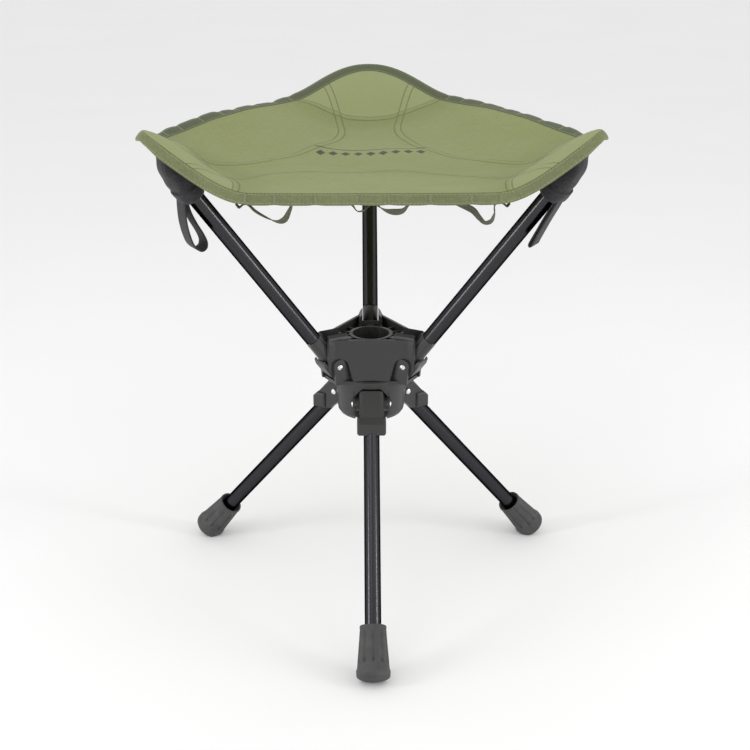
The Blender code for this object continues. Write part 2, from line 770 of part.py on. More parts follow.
def seat_height(azimuth, reach):
    """Height of the panel at a share of the way from its middle to its edge."""
    corner = max(0.0, 1 - off_corner(azimuth) / 32.0) ** 0.8
    steep = smooth((reach - 0.58) / 0.42)
    shallow = reach**2.2
    lift = corner * steep + (1 - corner) * shallow
    return SEAT_CENTRE_Z + (edge_height(azimuth) - SEAT_CENTRE_Z) * lift


def seat_point(azimuth, reach, down=0.0):
    turn = math.radians(azimuth)
    radius = edge_radius(azimuth) * reach
    return (radius * math.cos(turn), radius * math.sin(turn), seat_height(azimuth, reach) - down)


def azimuths(steps):
    return [360.0 * i / steps for i in range(steps)]


def make_seat_panel(look, parent):
    steps = 60
    reaches = (0.15, 0.4, 0.6, 0.7, 0.78, 0.86, 0.93, 1.0)
    under = [[seat_point(a, reach, PANEL_THICK) for a in azimuths(steps)] for reach in reaches]
    over = [[seat_point(a, reach) for a in azimuths(steps)] for reach in reversed(reaches)]
    bm = bmesh.new()
    add_loops(bm, under + over)
    return add_object("seat_panel", bm, look, parent)


def make_seat_hem(look, parent):
    """The folded hem round the panel: it hangs at the front and lifts with the cloth elsewhere."""
    rows = []
    for a in azimuths(60):
        edge = Vector(seat_point(a, 1.0, PANEL_THICK / 2))
        out = Vector((math.cos(math.radians(a)), math.sin(math.radians(a)), 0.0))
        hang = smooth((60.0 - abs(a - 270.0)) / 22.0)
        corner = smooth(1.6 - off_corner(a) / 14.0)
        pitch = math.radians(34.0 - 112.0 * hang)
        pitch += (math.radians(-30.0) - pitch) * corner
        width = HEM_WIDTH - (HEM_WIDTH - 3.0) * smooth(1.4 - off_corner(a) / 7.0)
        up = Vector((0, 0, 1))
        run = up * math.sin(pitch) + out * math.cos(pitch)
        face = up * math.cos(pitch) - out * math.sin(pitch)
        start = edge + out * (CLEAR + 0.35 + HEM_THICK / 2)
        half = face * HEM_THICK / 2
        rows.append([start + half, start + run * width + half, start + run * width - half, start - half])
    bm = bmesh.new()
    add_loops(bm, rows, close_path=True)
    return add_object("seat_hem", bm, look, parent)


def make_ribbon(name, look, parent, azimuth):
    """A narrow ribbon tacked in loops under one long edge of the seat."""
    front = azimuth == LEG_AZIMUTHS[0]
    radius = EDGE_IN_R - (4.5 if front else 6.0)
    turn = math.radians(azimuth)
    out = Vector((math.cos(turn), math.sin(turn), 0.0))
    along = Vector((-math.sin(turn), math.cos(turn), 0.0))
    path = []
    for point in smooth_path([(s, drop, 0.0) for s, drop in RIBBON_RUN], per_leg=2):
        if front:
            top = FRONT_EDGE_Z - HEM_WIDTH + 2.5
        else:
            inner = radius - RIBBON_HALF
            lean = azimuth + math.degrees(math.atan2(point.x, inner))
            reach = math.hypot(point.x, inner) / edge_radius(lean)
            top = seat_height(lean, reach) - PANEL_THICK - 1.4
        path.append(out * radius + along * point.x + Vector((0, 0, top - max(point.y, 1.0))))
    bm = bmesh.new()
    add_strip(bm, path, RIBBON_HALF, RIBBON_THICK, out)
    return add_object(name, bm, look, parent)


def main():
    clear_scene()
    plastic = material("hub_plastic", (0.035, 0.036, 0.038), 0.5)
    anodised = material("tube_anodised", (0.012, 0.012, 0.014), 0.3, 0.8)
    steel = material("rivet_steel", (0.75, 0.75, 0.74), 0.25, 1.0)
    rubber = material("foot_rubber", (0.04, 0.04, 0.042), 0.75)
    cloth = material("seat_cloth", (0.24, 0.27, 0.12), 0.85)
    trim = material("hem_cloth", (0.16, 0.18, 0.09), 0.85)
    webbing = material("black_webbing", (0.02, 0.02, 0.022), 0.85)

    frame = add_hub_frame()
    make_upper_hub(plastic, frame)
    make_lower_hub(plastic, frame)
    make_hub_screw(steel, frame)

    for number, azimuth in enumerate(ARM_AZIMUTHS, 1):
        pivot = add_pivot(f"arm_pivot_{number}", ARM_PIVOT_R, ARM_PIVOT_Z, azimuth, 90 - ARM_RISE)
        make_pin(f"arm_pin_{number}", steel, pivot, LUG_OUTER_S)
        make_arm_knuckle(f"arm_knuckle_{number}", plastic, pivot)
        make_tube(f"arm_tube_{number}", anodised, pivot, ARM_TUBE_START, ARM_TUBE_END)
        make_arm_cap(f"arm_cap_{number}", plastic, pivot)
        make_pocket(f"pocket_{number}", webbing, pivot)
        side_view = LOOP_TUCKED if number == 2 else LOOP_HANGING
        make_pull_loop(f"pull_loop_{number}", webbing, pivot, side_view)

    @tool("floor", None)
    def floor(bm):
        add_box(bm, (-400.0, 400.0), (-400.0, 400.0), (-60.0, 0.0))

    for number, azimuth in enumerate(LEG_AZIMUTHS, 1):
        pivot = add_pivot(f"leg_pivot_{number}", LEG_PIVOT_R, LEG_PIVOT_Z, azimuth, 90 + LEG_DROP)
        make_pin(f"leg_pin_{number}", steel, pivot, LEG_LUG_S)
        make_leg_knuckle(f"leg_knuckle_{number}", plastic, pivot)
        make_tube(f"leg_tube_{number}", anodised, pivot, LEG_TUBE_START, LEG_TUBE_END)
        make_foot(f"foot_{number}", rubber, pivot, floor)

    make_seat_panel(cloth, frame)
    make_seat_hem(trim, frame)
    for number, azimuth in enumerate(LEG_AZIMUTHS, 1):
        make_ribbon(f"ribbon_{number}", trim, frame, azimuth)


main()
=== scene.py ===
"""Looks for the three-leg folding camp stool: cloth seat, webbing, tubes, feet and finishes.

Lengths are in metres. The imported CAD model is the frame: hubs, knuckles and pins are shown as
packed, with softened edges, and the soft pieces, tubes and feet are built again in detail.
"""

import json
import math

import bmesh
import bpy
import numpy as np
from mathutils import Matrix, Vector


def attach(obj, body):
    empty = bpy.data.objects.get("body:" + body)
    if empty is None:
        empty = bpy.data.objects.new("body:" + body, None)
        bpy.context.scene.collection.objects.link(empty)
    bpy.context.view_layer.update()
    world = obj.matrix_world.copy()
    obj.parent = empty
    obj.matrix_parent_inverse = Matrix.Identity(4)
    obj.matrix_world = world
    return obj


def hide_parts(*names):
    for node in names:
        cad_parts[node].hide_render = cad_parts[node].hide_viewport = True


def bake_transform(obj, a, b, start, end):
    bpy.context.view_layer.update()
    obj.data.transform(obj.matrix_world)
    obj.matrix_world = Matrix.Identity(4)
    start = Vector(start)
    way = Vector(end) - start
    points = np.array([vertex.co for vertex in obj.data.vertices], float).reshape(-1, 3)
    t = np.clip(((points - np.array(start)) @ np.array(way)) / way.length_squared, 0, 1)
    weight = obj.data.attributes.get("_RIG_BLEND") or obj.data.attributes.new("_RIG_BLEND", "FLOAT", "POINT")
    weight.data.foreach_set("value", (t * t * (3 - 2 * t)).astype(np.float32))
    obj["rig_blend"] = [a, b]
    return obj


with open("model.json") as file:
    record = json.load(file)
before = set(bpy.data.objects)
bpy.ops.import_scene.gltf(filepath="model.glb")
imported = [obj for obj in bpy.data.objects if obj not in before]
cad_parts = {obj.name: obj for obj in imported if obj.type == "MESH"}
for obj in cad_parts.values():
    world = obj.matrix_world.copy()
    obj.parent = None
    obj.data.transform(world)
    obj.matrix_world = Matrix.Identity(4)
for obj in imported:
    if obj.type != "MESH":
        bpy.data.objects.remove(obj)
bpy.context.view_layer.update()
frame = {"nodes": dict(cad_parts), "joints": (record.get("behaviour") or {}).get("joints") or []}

MM = 0.001
UP = Vector((0, 0, 1))

# ---- places taken from the frame ------------------------------------------------------------
JOINTS = {joint["name"]: joint for joint in frame["joints"]}
ARM_AZIMUTHS = (210.0, 330.0, 90.0)
LEG_AZIMUTHS = (270.0, 30.0, 150.0)
AXIS_Y = sum(JOINTS[f"arm_{i}_fold"]["pos_m"][1] for i in (1, 2, 3)) / 3
AXIS = Vector((0.0, AXIS_Y, 0.0))
HUB_Z = 195.6 * MM  # the underside of the lower hub
ARM_RISE = math.radians(53.0)  # an open arm's slope above level
LEG_DROP = math.radians(48.9)  # an open leg's slope below level

# ---- tubes, feet and pockets ------------------------------------------------------------------
# distances along an arm or leg are from its hinge
TUBE_R = 8.0 * MM
ARM_TUBE = (37.8 * MM, 274.0 * MM)
LEG_TUBE = (22.0 * MM, 262.0 * MM)
FOOT_START = 226.0 * MM
POCKET_MOUTH = 241.0 * MM

# ---- seat ---------------------------------------------------------------------------------------
# radii are from the stool's upright axis; a notch, where a long edge turns towards a tip, is
# NOTCH_R out along the arm's azimuth and NOTCH_S to its side
CENTRE_Z = HUB_Z + 264.0 * MM
TIP_R = 236.0 * MM
FRONT_TIP_Z = HUB_Z + 315.5 * MM
BACK_TIP_Z = HUB_Z + 312.5 * MM
NOTCH_R = 178.0 * MM
NOTCH_S = 84.0 * MM
EDGE_R = NOTCH_R * math.cos(math.radians(60)) + NOTCH_S * math.sin(math.radians(60))
BACK_EDGE_Z = HUB_Z + 289.0 * MM
FRONT_EDGE_Z = HUB_Z + 268.5 * MM
CLOTH_THICK = 0.9 * MM
HEM_WIDTH = 9.6 * MM
HEM_THICK = 2.0 * MM
BLEND_RUN = 165.0 * MM  # along an edge from its middle to where the cloth moves as its arm does
TAPE_THICK = 0.9 * MM
WEBBING_THICK = 1.5 * MM


# ---- small mathematics --------------------------------------------------------------------------


def smooth(t):
    t = min(1.0, max(0.0, t))
    return t * t * (3 - 2 * t)


def mix(a, b, share):
    return a + (b - a) * share


def outward(azimuth):
    turn = math.radians(azimuth)
    return Vector((math.cos(turn), math.sin(turn), 0.0))


def sideways(azimuth):
    turn = math.radians(azimuth)
    return Vector((-math.sin(turn), math.cos(turn), 0.0))


def joint_place(name):
    return Vector(JOINTS[name]["pos_m"])


def arm_matrix(number):
    """Local Z runs up the arm's tube, Y along its hinge and X to its outer, lower side."""
    azimuth = ARM_AZIMUTHS[number - 1]
    out, side = outward(azimuth), sideways(azimuth)
    along = out * math.cos(ARM_RISE) + UP * math.sin(ARM_RISE)
    under = out * math.sin(ARM_RISE) - UP * math.cos(ARM_RISE)
    return frame_matrix(under, side, along, joint_place(f"arm_{number}_fold"))


def leg_matrix(number):
    """Local Z runs down the leg's tube, Y along its hinge and X to its inner side."""
    azimuth = LEG_AZIMUTHS[number - 1]
    out, side = outward(azimuth), sideways(azimuth)
    along = out * math.cos(LEG_DROP) - UP * math.sin(LEG_DROP)
    inner = -out * math.sin(LEG_DROP) - UP * math.cos(LEG_DROP)
    return frame_matrix(inner, side, along, joint_place(f"leg_{number}_fold"))


def frame_matrix(x, y, z, place):
    turned = Matrix((x, y, z)).transposed().to_4x4()
    return Matrix.Translation(place) @ turned


def curve_through(points, per_leg):
    """Points on a Catmull-Rom curve through these."""
    points = [Vector(p) for p in points]
    ends = [points[0] * 2 - points[1], *points, points[-1] * 2 - points[-2]]
    made = []
    for i in range(1, len(ends) - 2):
        before, here, there, after = ends[i - 1 : i + 3]
        for j in range(per_leg):
            t = j / per_leg
            bend = 2 * before - 5 * here + 4 * there - after
            twist = 3 * here - before - 3 * there + after
            made.append(0.5 * (2 * here + (there - before) * t + bend * t * t + twist * t**3))
    made.append(points[-1])
    return made


# ---- materials ----------------------------------------------------------------------------------


class Look:
    """A Principled material with short calls for the node patterns used here."""

    def __init__(self, name, **sockets):
        self.material = bpy.data.materials.new(name)
        self.material.use_nodes = True
        self.tree = self.material.node_tree
        self.shader = self.tree.nodes["Principled BSDF"]
        self.shader.inputs["Specular IOR Level"].default_value = 0.3
        for socket, value in sockets.items():
            self.shader.inputs[socket.replace("_", " ")].default_value = value
        self.place = self.node("ShaderNodeTexCoord").outputs["Object"]

    def node(self, kind, sockets=None, **settings):
        made = self.tree.nodes.new(kind)
        for key, value in settings.items():
            setattr(made, key, value)
        for key, value in (sockets or {}).items():
            self.feed(made.inputs[key], value)
        return made

    def feed(self, socket, value):
        if isinstance(value, bpy.types.NodeSocket):
            self.tree.links.new(value, socket)
        else:
            socket.default_value = value

    def math(self, operation, *values, clamp=False):
        made = self.node("ShaderNodeMath", operation=operation, use_clamp=clamp)
        for i, value in enumerate(values):
            self.feed(made.inputs[i], value)
        return made.outputs[0]

    def attribute(self, name):
        return self.node("ShaderNodeAttribute", attribute_name=name).outputs["Fac"]

    def noise(self, scale, detail=3.0, roughness=0.55, stretch=(1, 1, 1)):
        where = self.node("ShaderNodeMapping", {"Vector": self.place, "Scale": stretch})
        sockets = {"Vector": where.outputs[0], "Scale": scale, "Detail": detail, "Roughness": roughness}
        return self.node("ShaderNodeTexNoise", sockets).outputs[0]

    def ramp(self, value, low, high, low_out=0.0, high_out=1.0):
        sockets = {0: value, 1: low, 2: high, 3: low_out, 4: high_out}
        made = self.node("ShaderNodeMapRange", interpolation_type="SMOOTHSTEP")
        for i, each in sockets.items():
            self.feed(made.inputs[i], each)
        return made.outputs[0]

    def blend(self, share, a, b):
        made = self.node("ShaderNodeMix", data_type="RGBA")
        self.feed(made.inputs[0], share)
        self.feed(made.inputs[6], a)
        self.feed(made.inputs[7], b)
        return made.outputs[2]

    def bump(self, height, distance, strength=1.0, normal=None):
        sockets = {"Height": height, "Distance": distance, "Strength": strength}
        if normal is not None:
            sockets["Normal"] = normal
        return self.node("ShaderNodeBump", sockets).outputs[0]

    def wire(self, **sockets):
        for socket, value in sockets.items():
            self.feed(self.shader.inputs[socket.replace("_", " ")], value)

    def threads(self, coordinate, period):
        """0 between threads and 1 on the middle of each, along one coordinate in metres."""
        wave = self.math("SINE", self.math("MULTIPLY", coordinate, math.pi / period))
        return self.math("ABSOLUTE", wave)

    def stitched_line(self, distance, run, offset, half_width, length):
        """1 on a row of stitches that lies this far either side of a line, 0 elsewhere."""
        off = self.math("ABSOLUTE", self.math("SUBTRACT", self.math("ABSOLUTE", distance), offset))
        line = self.ramp(off, half_width * 0.5, half_width * 1.6, 1.0, 0.0)
        beat = self.math("SINE", self.math("MULTIPLY", run, math.tau / length))
        dash = self.ramp(beat, -0.75, -0.35, 0.0, 1.0)
        return self.math("MULTIPLY", line, dash), line


def grey(level):
    return (level, level, level, 1.0)


def cloth_look(name, light, dark, thread):
    """Plain-weave cloth with double seams. Reads the distances the seat's mesh carries."""
    look = Look(name, Roughness=0.86, Sheen_Weight=0.06, Sheen_Roughness=0.5)
    x, y = look.attribute("plan_x"), look.attribute("plan_y")
    look.place = look.node("ShaderNodeCombineXYZ", {0: x, 1: y}).outputs[0]
    warp = look.threads(x, 0.75 * MM)
    weft = look.threads(y, 0.75 * MM)
    weave = look.math("ADD", warp, look.math("MULTIPLY", weft, 0.8))
    slub_x = look.noise(150.0, 2.0, stretch=(1.0, 9.0, 1.0))
    slub_y = look.noise(150.0, 2.0, stretch=(9.0, 1.0, 1.0))
    slub = look.math("ADD", slub_x, slub_y)
    worn = look.noise(11.0, 4.0)
    tone = look.blend(look.ramp(slub, 0.75, 1.25), dark, light)
    tone = look.blend(look.ramp(worn, 0.35, 0.7, 0.0, 0.22), tone, dark)
    tongue = look.attribute("tongue")
    # painted shade: the cloth is darkened over 45 mm before the tongue seam, where it dips
    painted_shade_before_seam = look.ramp(tongue, -45.0 * MM, 0.0, 0.0, 0.30)
    tone = look.blend(painted_shade_before_seam, tone, (0.165, 0.185, 0.070, 1))
    # painted light: the cloth is paled just past the tongue seam, where it turns up to the light
    painted_light_past_seam = look.ramp(tongue, -1.0 * MM, 3.0 * MM, 0.0, 0.55)
    tone = look.blend(painted_light_past_seam, tone, (0.300, 0.330, 0.160, 1))
    seams, lines = [], []
    for line, offset in (("arc", 3.4 * MM), ("tongue", 2.8 * MM)):
        distance, run = look.attribute(line), look.attribute(line + "_run")
        stitch, groove = look.stitched_line(distance, run, offset, 0.55 * MM, 3.4 * MM)
        seams.append(stitch)
        lines.append(groove)
    groove = look.math("MAXIMUM", *lines)
    stitch = look.math("MAXIMUM", *seams)
    tone = look.blend(look.math("MULTIPLY", groove, 0.42), tone, thread)
    tone = look.blend(look.math("MULTIPLY", stitch, 0.3), tone, thread)
    ink = look.math("MULTIPLY", print_shape(look, x, y), look.ramp(weave, 0.2, 1.1, 0.55, 0.95))
    tone = look.blend(ink, tone, (0.035, 0.042, 0.03, 1))
    pucker = look.math("MULTIPLY", look.noise(260.0, 2.0), look.attribute("pucker"))
    fine = look.bump(weave, 0.10 * MM, 0.5)
    puckered = look.bump(pucker, 0.9 * MM, 0.55, fine)
    sunk = look.bump(look.math("SUBTRACT", 1.0, groove), 0.55 * MM, 0.8, puckered)
    rough = look.ramp(look.noise(35.0, 3.0), 0.3, 0.7, 0.8, 0.93)
    look.wire(Base_Color=tone, Roughness=rough, Normal=sunk)
    return look.material


def print_shape(look, x, y):
    """1 on a plain row of nine lozenges and on the thin line behind it, 0 elsewhere."""
    spacing, half_x, half_y = 12.4 * MM, 5.0 * MM, 9.0 * MM
    cell = look.math("SUBTRACT", x, look.math("SNAP", look.math("ADD", x, spacing / 2), spacing))
    off_x = look.math("DIVIDE", look.math("ABSOLUTE", cell), half_x)
    off_y = look.math("DIVIDE", look.math("ABSOLUTE", look.math("SUBTRACT", y, 21.0 * MM)), half_y)
    lozenge = look.ramp(look.math("ADD", off_x, off_y), 0.94, 1.06, 1.0, 0.0)
    off_line = look.math("ABSOLUTE", look.math("SUBTRACT", y, 39.0 * MM))
    line = look.ramp(off_line, 0.9 * MM, 1.4 * MM, 1.0, 0.0)
    within = look.ramp(look.math("ABSOLUTE", x), 55.4 * MM, 55.8 * MM, 1.0, 0.0)
    return look.math("MULTIPLY", look.math("MAXIMUM", lozenge, line), within)


def tape_look(name, light, dark, rib, thread, stitch_offset, roughness, hem_painted_shade=None):
    """Woven tape: ribs across its width, and a row of stitches near each edge. The last colour, where given, is
    painted shade, laid on where the tape stands up."""
    look = Look(name, Roughness=roughness, Sheen_Weight=0.08, Sheen_Roughness=0.5)
    run, across = look.attribute("run"), look.attribute("across")
    ribs = look.threads(run, rib)
    cross = look.threads(across, rib * 1.3)
    weave = look.math("ADD", ribs, look.math("MULTIPLY", cross, 0.5))
    fuzz = look.noise(420.0, 3.0)
    patch = look.noise(24.0, 4.0)
    tone = look.blend(look.ramp(look.math("ADD", fuzz, patch), 0.75, 1.25), dark, light)
    # painted shade: the tape darkens towards the given colour where it stands up
    if hem_painted_shade:
        tone = look.blend(look.math("MULTIPLY", look.attribute("hem_painted_shade"), 0.92), tone, hem_painted_shade)
    stitch, line = look.stitched_line(across, run, stitch_offset, 0.45 * MM, 3.2 * MM)
    tone = look.blend(look.math("MULTIPLY", stitch, 0.55), tone, thread)
    fine = look.bump(weave, 0.12 * MM, 0.6)
    rough_cloth = look.bump(fuzz, 0.2 * MM, 0.35, fine)
    sunk = look.bump(look.math("SUBTRACT", 1.0, line), 0.35 * MM, 0.6, rough_cloth)
    rough = look.ramp(patch, 0.3, 0.7, roughness - 0.06, min(1.0, roughness + 0.06))
    look.wire(Base_Color=tone, Roughness=rough, Normal=sunk)
    return look.material


def plastic_look(name):
    """Dark moulded plastic: spark-eroded grain, faint flow marks and small pale scuffs."""
    look = Look(name, IOR=1.49, Specular_IOR_Level=0.45)
    grain = look.noise(2600.0, 2.0, 0.6)
    flow = look.noise(30.0, 4.0, stretch=(1.0, 1.0, 0.35))
    scuff = look.ramp(look.noise(140.0, 5.0, 0.7, stretch=(1.0, 1.0, 3.0)), 0.66, 0.76)
    tone = look.blend(flow, grey(0.024), grey(0.034))
    tone = look.blend(look.math("MULTIPLY", scuff, 0.3), tone, grey(0.075))
    rough = look.ramp(flow, 0.3, 0.7, 0.34, 0.44)
    fine = look.bump(grain, 0.06 * MM, 0.45)
    look.wire(Base_Color=tone, Roughness=rough, Normal=look.bump(flow, 0.5 * MM, 0.12, fine))
    return look.material


def tube_look(name):
    """Satin black anodising: drawing lines along the tube, with a few hair scratches."""
    look = Look(name, Metallic=1.0)
    look.shader.inputs["Specular Tint"].default_value = (0.05, 0.05, 0.07, 1.0)
    drawn = look.noise(60.0, 4.0, stretch=(1.0, 1.0, 0.2))
    speck = look.noise(900.0, 3.0, 0.65)
    scratch = look.ramp(look.noise(220.0, 4.0, 0.7, stretch=(1.0, 1.0, 6.0)), 0.68, 0.74)
    tone = look.blend(look.ramp(speck, 0.4, 0.7), (0.040, 0.040, 0.043, 1), (0.058, 0.058, 0.062, 1))
    tone = look.blend(look.math("MULTIPLY", scratch, 0.4), tone, grey(0.16))
    rough = look.math("ADD", look.ramp(drawn, 0.3, 0.7, 0.15, 0.20), look.math("MULTIPLY", speck, 0.07))
    look.wire(Base_Color=tone, Roughness=rough, Normal=look.bump(speck, 0.03 * MM, 0.25))
    return look.material


def steel_look(name):
    """Bright rivet steel with turning marks and light tarnish."""
    look = Look(name, Metallic=1.0)
    tarnish = look.noise(500.0, 4.0)
    tone = look.blend(look.ramp(tarnish, 0.35, 0.75), grey(0.82), grey(0.55))
    rough = look.ramp(tarnish, 0.3, 0.7, 0.18, 0.36)
    look.wire(Base_Color=tone, Roughness=rough, Normal=look.bump(look.noise(2500.0), 0.03 * MM, 0.3))
    return look.material


def rubber_look(name):
    """Matt rubber with a bloom of pale dust and a paler, scuffed sole."""
    look = Look(name, IOR=1.5)
    bloom = look.noise(70.0, 5.0)
    pores = look.noise(1500.0, 3.0, 0.7)
    height = look.node("ShaderNodeSeparateXYZ", {0: look.place}).outputs[2]
    low = look.ramp(height, 0.5 * MM, 7.0 * MM, 1.0, 0.0)
    tone = look.blend(look.ramp(bloom, 0.35, 0.7), grey(0.052), grey(0.078))
    tone = look.blend(look.math("MULTIPLY", low, look.ramp(pores, 0.4, 0.6, 0.1, 0.6)), tone, grey(0.12))
    rough = look.ramp(bloom, 0.3, 0.7, 0.62, 0.78)
    look.wire(Base_Color=tone, Roughness=rough, Normal=look.bump(pores, 0.12 * MM, 0.5))
    return look.material


def thread_look(name):
    """Twisted sewing thread, paler than the hem."""
    look = Look(name, Roughness=0.6, Sheen_Weight=0.2)
    twist = look.noise(1500.0, 3.0)
    tone = look.blend(twist, (0.19, 0.21, 0.11, 1), (0.27, 0.29, 0.16, 1))
    look.wire(Base_Color=tone, Normal=look.bump(twist, 0.05 * MM, 0.5))
    return look.material


def floor_look(name):
    """The stage's plain pale floor."""
    look = Look(name, Roughness=0.9)
    look.wire(Base_Color=look.blend(look.noise(3.0, 2.0), grey(0.86), grey(0.89)))
    return look.material


LOOKS = {
    "cloth": cloth_look(
        "seat_cloth", (0.262, 0.290, 0.122, 1), (0.222, 0.248, 0.098, 1), (0.10, 0.115, 0.045, 1),
    ),
    # the hem's last colour is painted shade, laid where the hem stands up
    "hem": tape_look(
        "hem_cloth", (0.172, 0.188, 0.092, 1), (0.132, 0.148, 0.070, 1),
        0.8 * MM, (0.28, 0.30, 0.16, 1), 0.40 * HEM_WIDTH, 0.84, (0.085, 0.100, 0.060, 1),
    ),
    "ribbon": tape_look(
        "ribbon_cloth", (0.092, 0.096, 0.060, 1), (0.058, 0.062, 0.040, 1),
        0.7 * MM, (0.16, 0.17, 0.11, 1), 20.0 * MM, 0.8,
    ),
    "webbing": tape_look(
        "black_webbing", (0.030, 0.030, 0.033, 1), (0.014, 0.014, 0.016, 1),
        1.1 * MM, (0.05, 0.05, 0.055, 1), 8.6 * MM, 0.74,
    ),
    "plastic": plastic_look("hub_plastic"),
    "tube": tube_look("tube_anodised"),
    "steel": steel_look("rivet_steel"),
    "rubber": rubber_look("foot_rubber"),
    "thread": thread_look("thread"),
    "floor": floor_look("floor"),
}


# ---- meshes -------------------------------------------------------------------------------------


def new_object(name, bm, look, sharp_angle=None):
    bmesh.ops.recalc_face_normals(bm, faces=bm.faces)
    mesh = bpy.data.meshes.new(name)
    bm.to_mesh(mesh)
    bm.free()
    mesh.materials.append(LOOKS[look])
    mesh.shade_smooth()
    if sharp_angle is not None:
        mesh.set_sharp_from_angle(angle=math.radians(sharp_angle))
    obj = bpy.data.objects.new(name, mesh)
    bpy.context.scene.collection.objects.link(obj)
    return obj


def add_rows(bm, rows, caps=True, layers=None):
    """Skins rows of points, each a closed ring, and caps the two ends. layers maps the name of a
    float attribute to its values, laid out as the rows are."""
    layers = layers or {}
    for name in layers:
        bm.verts.layers.float.new(name)  # before the vertices, which a new layer would undo
    made = [[bm.verts.new(point) for point in row] for row in rows]
    for name, values in layers.items():
        layer = bm.verts.layers.float[name]
        for row, row_values in zip(made, values):
            for vert, value in zip(row, row_values):
                vert[layer] = value
    count = len(made[0])
    for low, high in zip(made, made[1:]):
        for i in range(count):
            j = (i + 1) % count
            bm.faces.new((low[i], low[j], high[j], high[i]))
    if caps:
        bm.faces.new(list(reversed(made[0])))
        bm.faces.new(made[-1])
    return made


def ring(radius_x, radius_y, height, steps):
    turns = [math.tau * i / steps for i in range(steps)]
    return [Vector((radius_x * math.cos(t), radius_y * math.sin(t), height)) for t in turns]


def tape_rows(path, across, half_width, thickness):
    """Rows of a flat tape along a path. across gives the tape's width direction at each point."""
    inner = half_width - 0.35 * thickness
    rows, runs, sides = [], [], []
    length = 0.0
    for i, point in enumerate(path):
        ahead = path[min(i + 1, len(path) - 1)] - path[max(i - 1, 0)]
        wide = across[i] - ahead * (across[i].dot(ahead) / max(ahead.length_squared, 1e-12))
        wide.normalize()
        face = ahead.cross(wide).normalized()
        length += (point - path[i - 1]).length if i else 0.0
        section = []
        for step in range(9):
            section.append((mix(-inner, inner, step / 8), thickness / 2))
        section.append((half_width, thickness * 0.15))
        section.append((half_width, -thickness * 0.15))
        for step in range(9):
            section.append((mix(inner, -inner, step / 8), -thickness / 2))
        section.append((-half_width, -thickness * 0.15))
        section.append((-half_width, thickness * 0.15))
        rows.append([point + wide * w + face * t for w, t in section])
        runs.append([length] * len(section))
        sides.append([w for w, _ in section])
    return rows, {"run": runs, "across": sides}


# ---- seat cloth ---------------------------------------------------------------------------------


def off_corner(azimuth):
    """Degrees from this azimuth to the nearest arm's."""
    return min(abs((azimuth - a + 180) % 360 - 180) for a in ARM_AZIMUTHS)


def near_share(azimuth):
    """1 along the low front edge, 0 along the two back edges; it turns over at the front tips."""
    facing = math.cos(math.radians(azimuth - 270.0))
    return smooth((facing - 0.438) / 0.121)


def edge_radius(azimuth):
    """Plan radius of the cloth's edge: blunted tips joined to long, slightly hollow edges."""
    lean = math.radians(off_corner(azimuth))
    tip = TIP_R + 6.0 * MM
    reach_tip = tip * NOTCH_S / (math.sin(lean) * (tip - NOTCH_R) + math.cos(lean) * NOTCH_S)
    reach_edge = EDGE_R / math.cos(math.radians(60) - lean)
    blunt = 7.0 * MM
    nearest = min(reach_tip, reach_edge, TIP_R)
    soft = sum(math.exp((nearest - r) / blunt) for r in (reach_tip, reach_edge, TIP_R))
    return nearest - blunt * math.log(soft) * 0.5


def edge_height(azimuth):
    """Height of the panel's edge: along the front it drops from a tip faster, and further."""
    off = off_corner(azimuth)
    crown = 4.0 * MM * smooth((off - 26.0) / 26.0)
    back = mix(BACK_TIP_Z, BACK_EDGE_Z + crown, smooth(off / 24.6) ** 1.15)
    front = mix(FRONT_TIP_Z, FRONT_EDGE_Z, smooth(off / 26.0) ** 0.6)
    return mix(back, front, near_share(azimuth))


def seam_bow(distance, run):
    """How far the middle of an edge's double seam lies in from a straight line."""
    return distance + 41.0 * MM * (abs(run) / (120.0 * MM)) ** 2.5


def seam_distances(point):
    """Signed distances of a plan point from the two kinds of seam, and how far along them."""
    azimuth = math.degrees(math.atan2(point.y, point.x))
    edge = min(LEG_AZIMUTHS, key=lambda a: abs((azimuth - a + 180) % 360 - 180))
    u, v = point.dot(outward(edge)), point.dot(sideways(edge))
    middle = 57.0 * MM if edge == LEG_AZIMUTHS[0] else 66.0 * MM
    slope = 2.5 * 41.0 / 120.0 * (abs(v) / (120.0 * MM)) ** 1.5
    arc = (u - seam_bow(middle, v)) / math.hypot(1.0, slope)
    corner = min(ARM_AZIMUTHS, key=lambda a: abs((azimuth - a + 180) % 360 - 180))
    u, across = point.dot(outward(corner)), point.dot(sideways(corner))
    bulge = 17.0 * MM * (min(abs(across), 90 * MM) / (75.0 * MM)) ** 3
    slope = 3 * 17.0 / 75.0 * (min(abs(across), 90 * MM) / (75.0 * MM)) ** 2
    tongue = (u - 165.0 * MM - bulge) / math.hypot(1.0, slope)
    return arc, abs(v), tongue, abs(across)


def ripple(point, turn, period, phase):
    """A soft wave across the plan, in the direction of turn."""
    return math.sin((point.x * math.cos(turn) + point.y * math.sin(turn)) / period + phase)


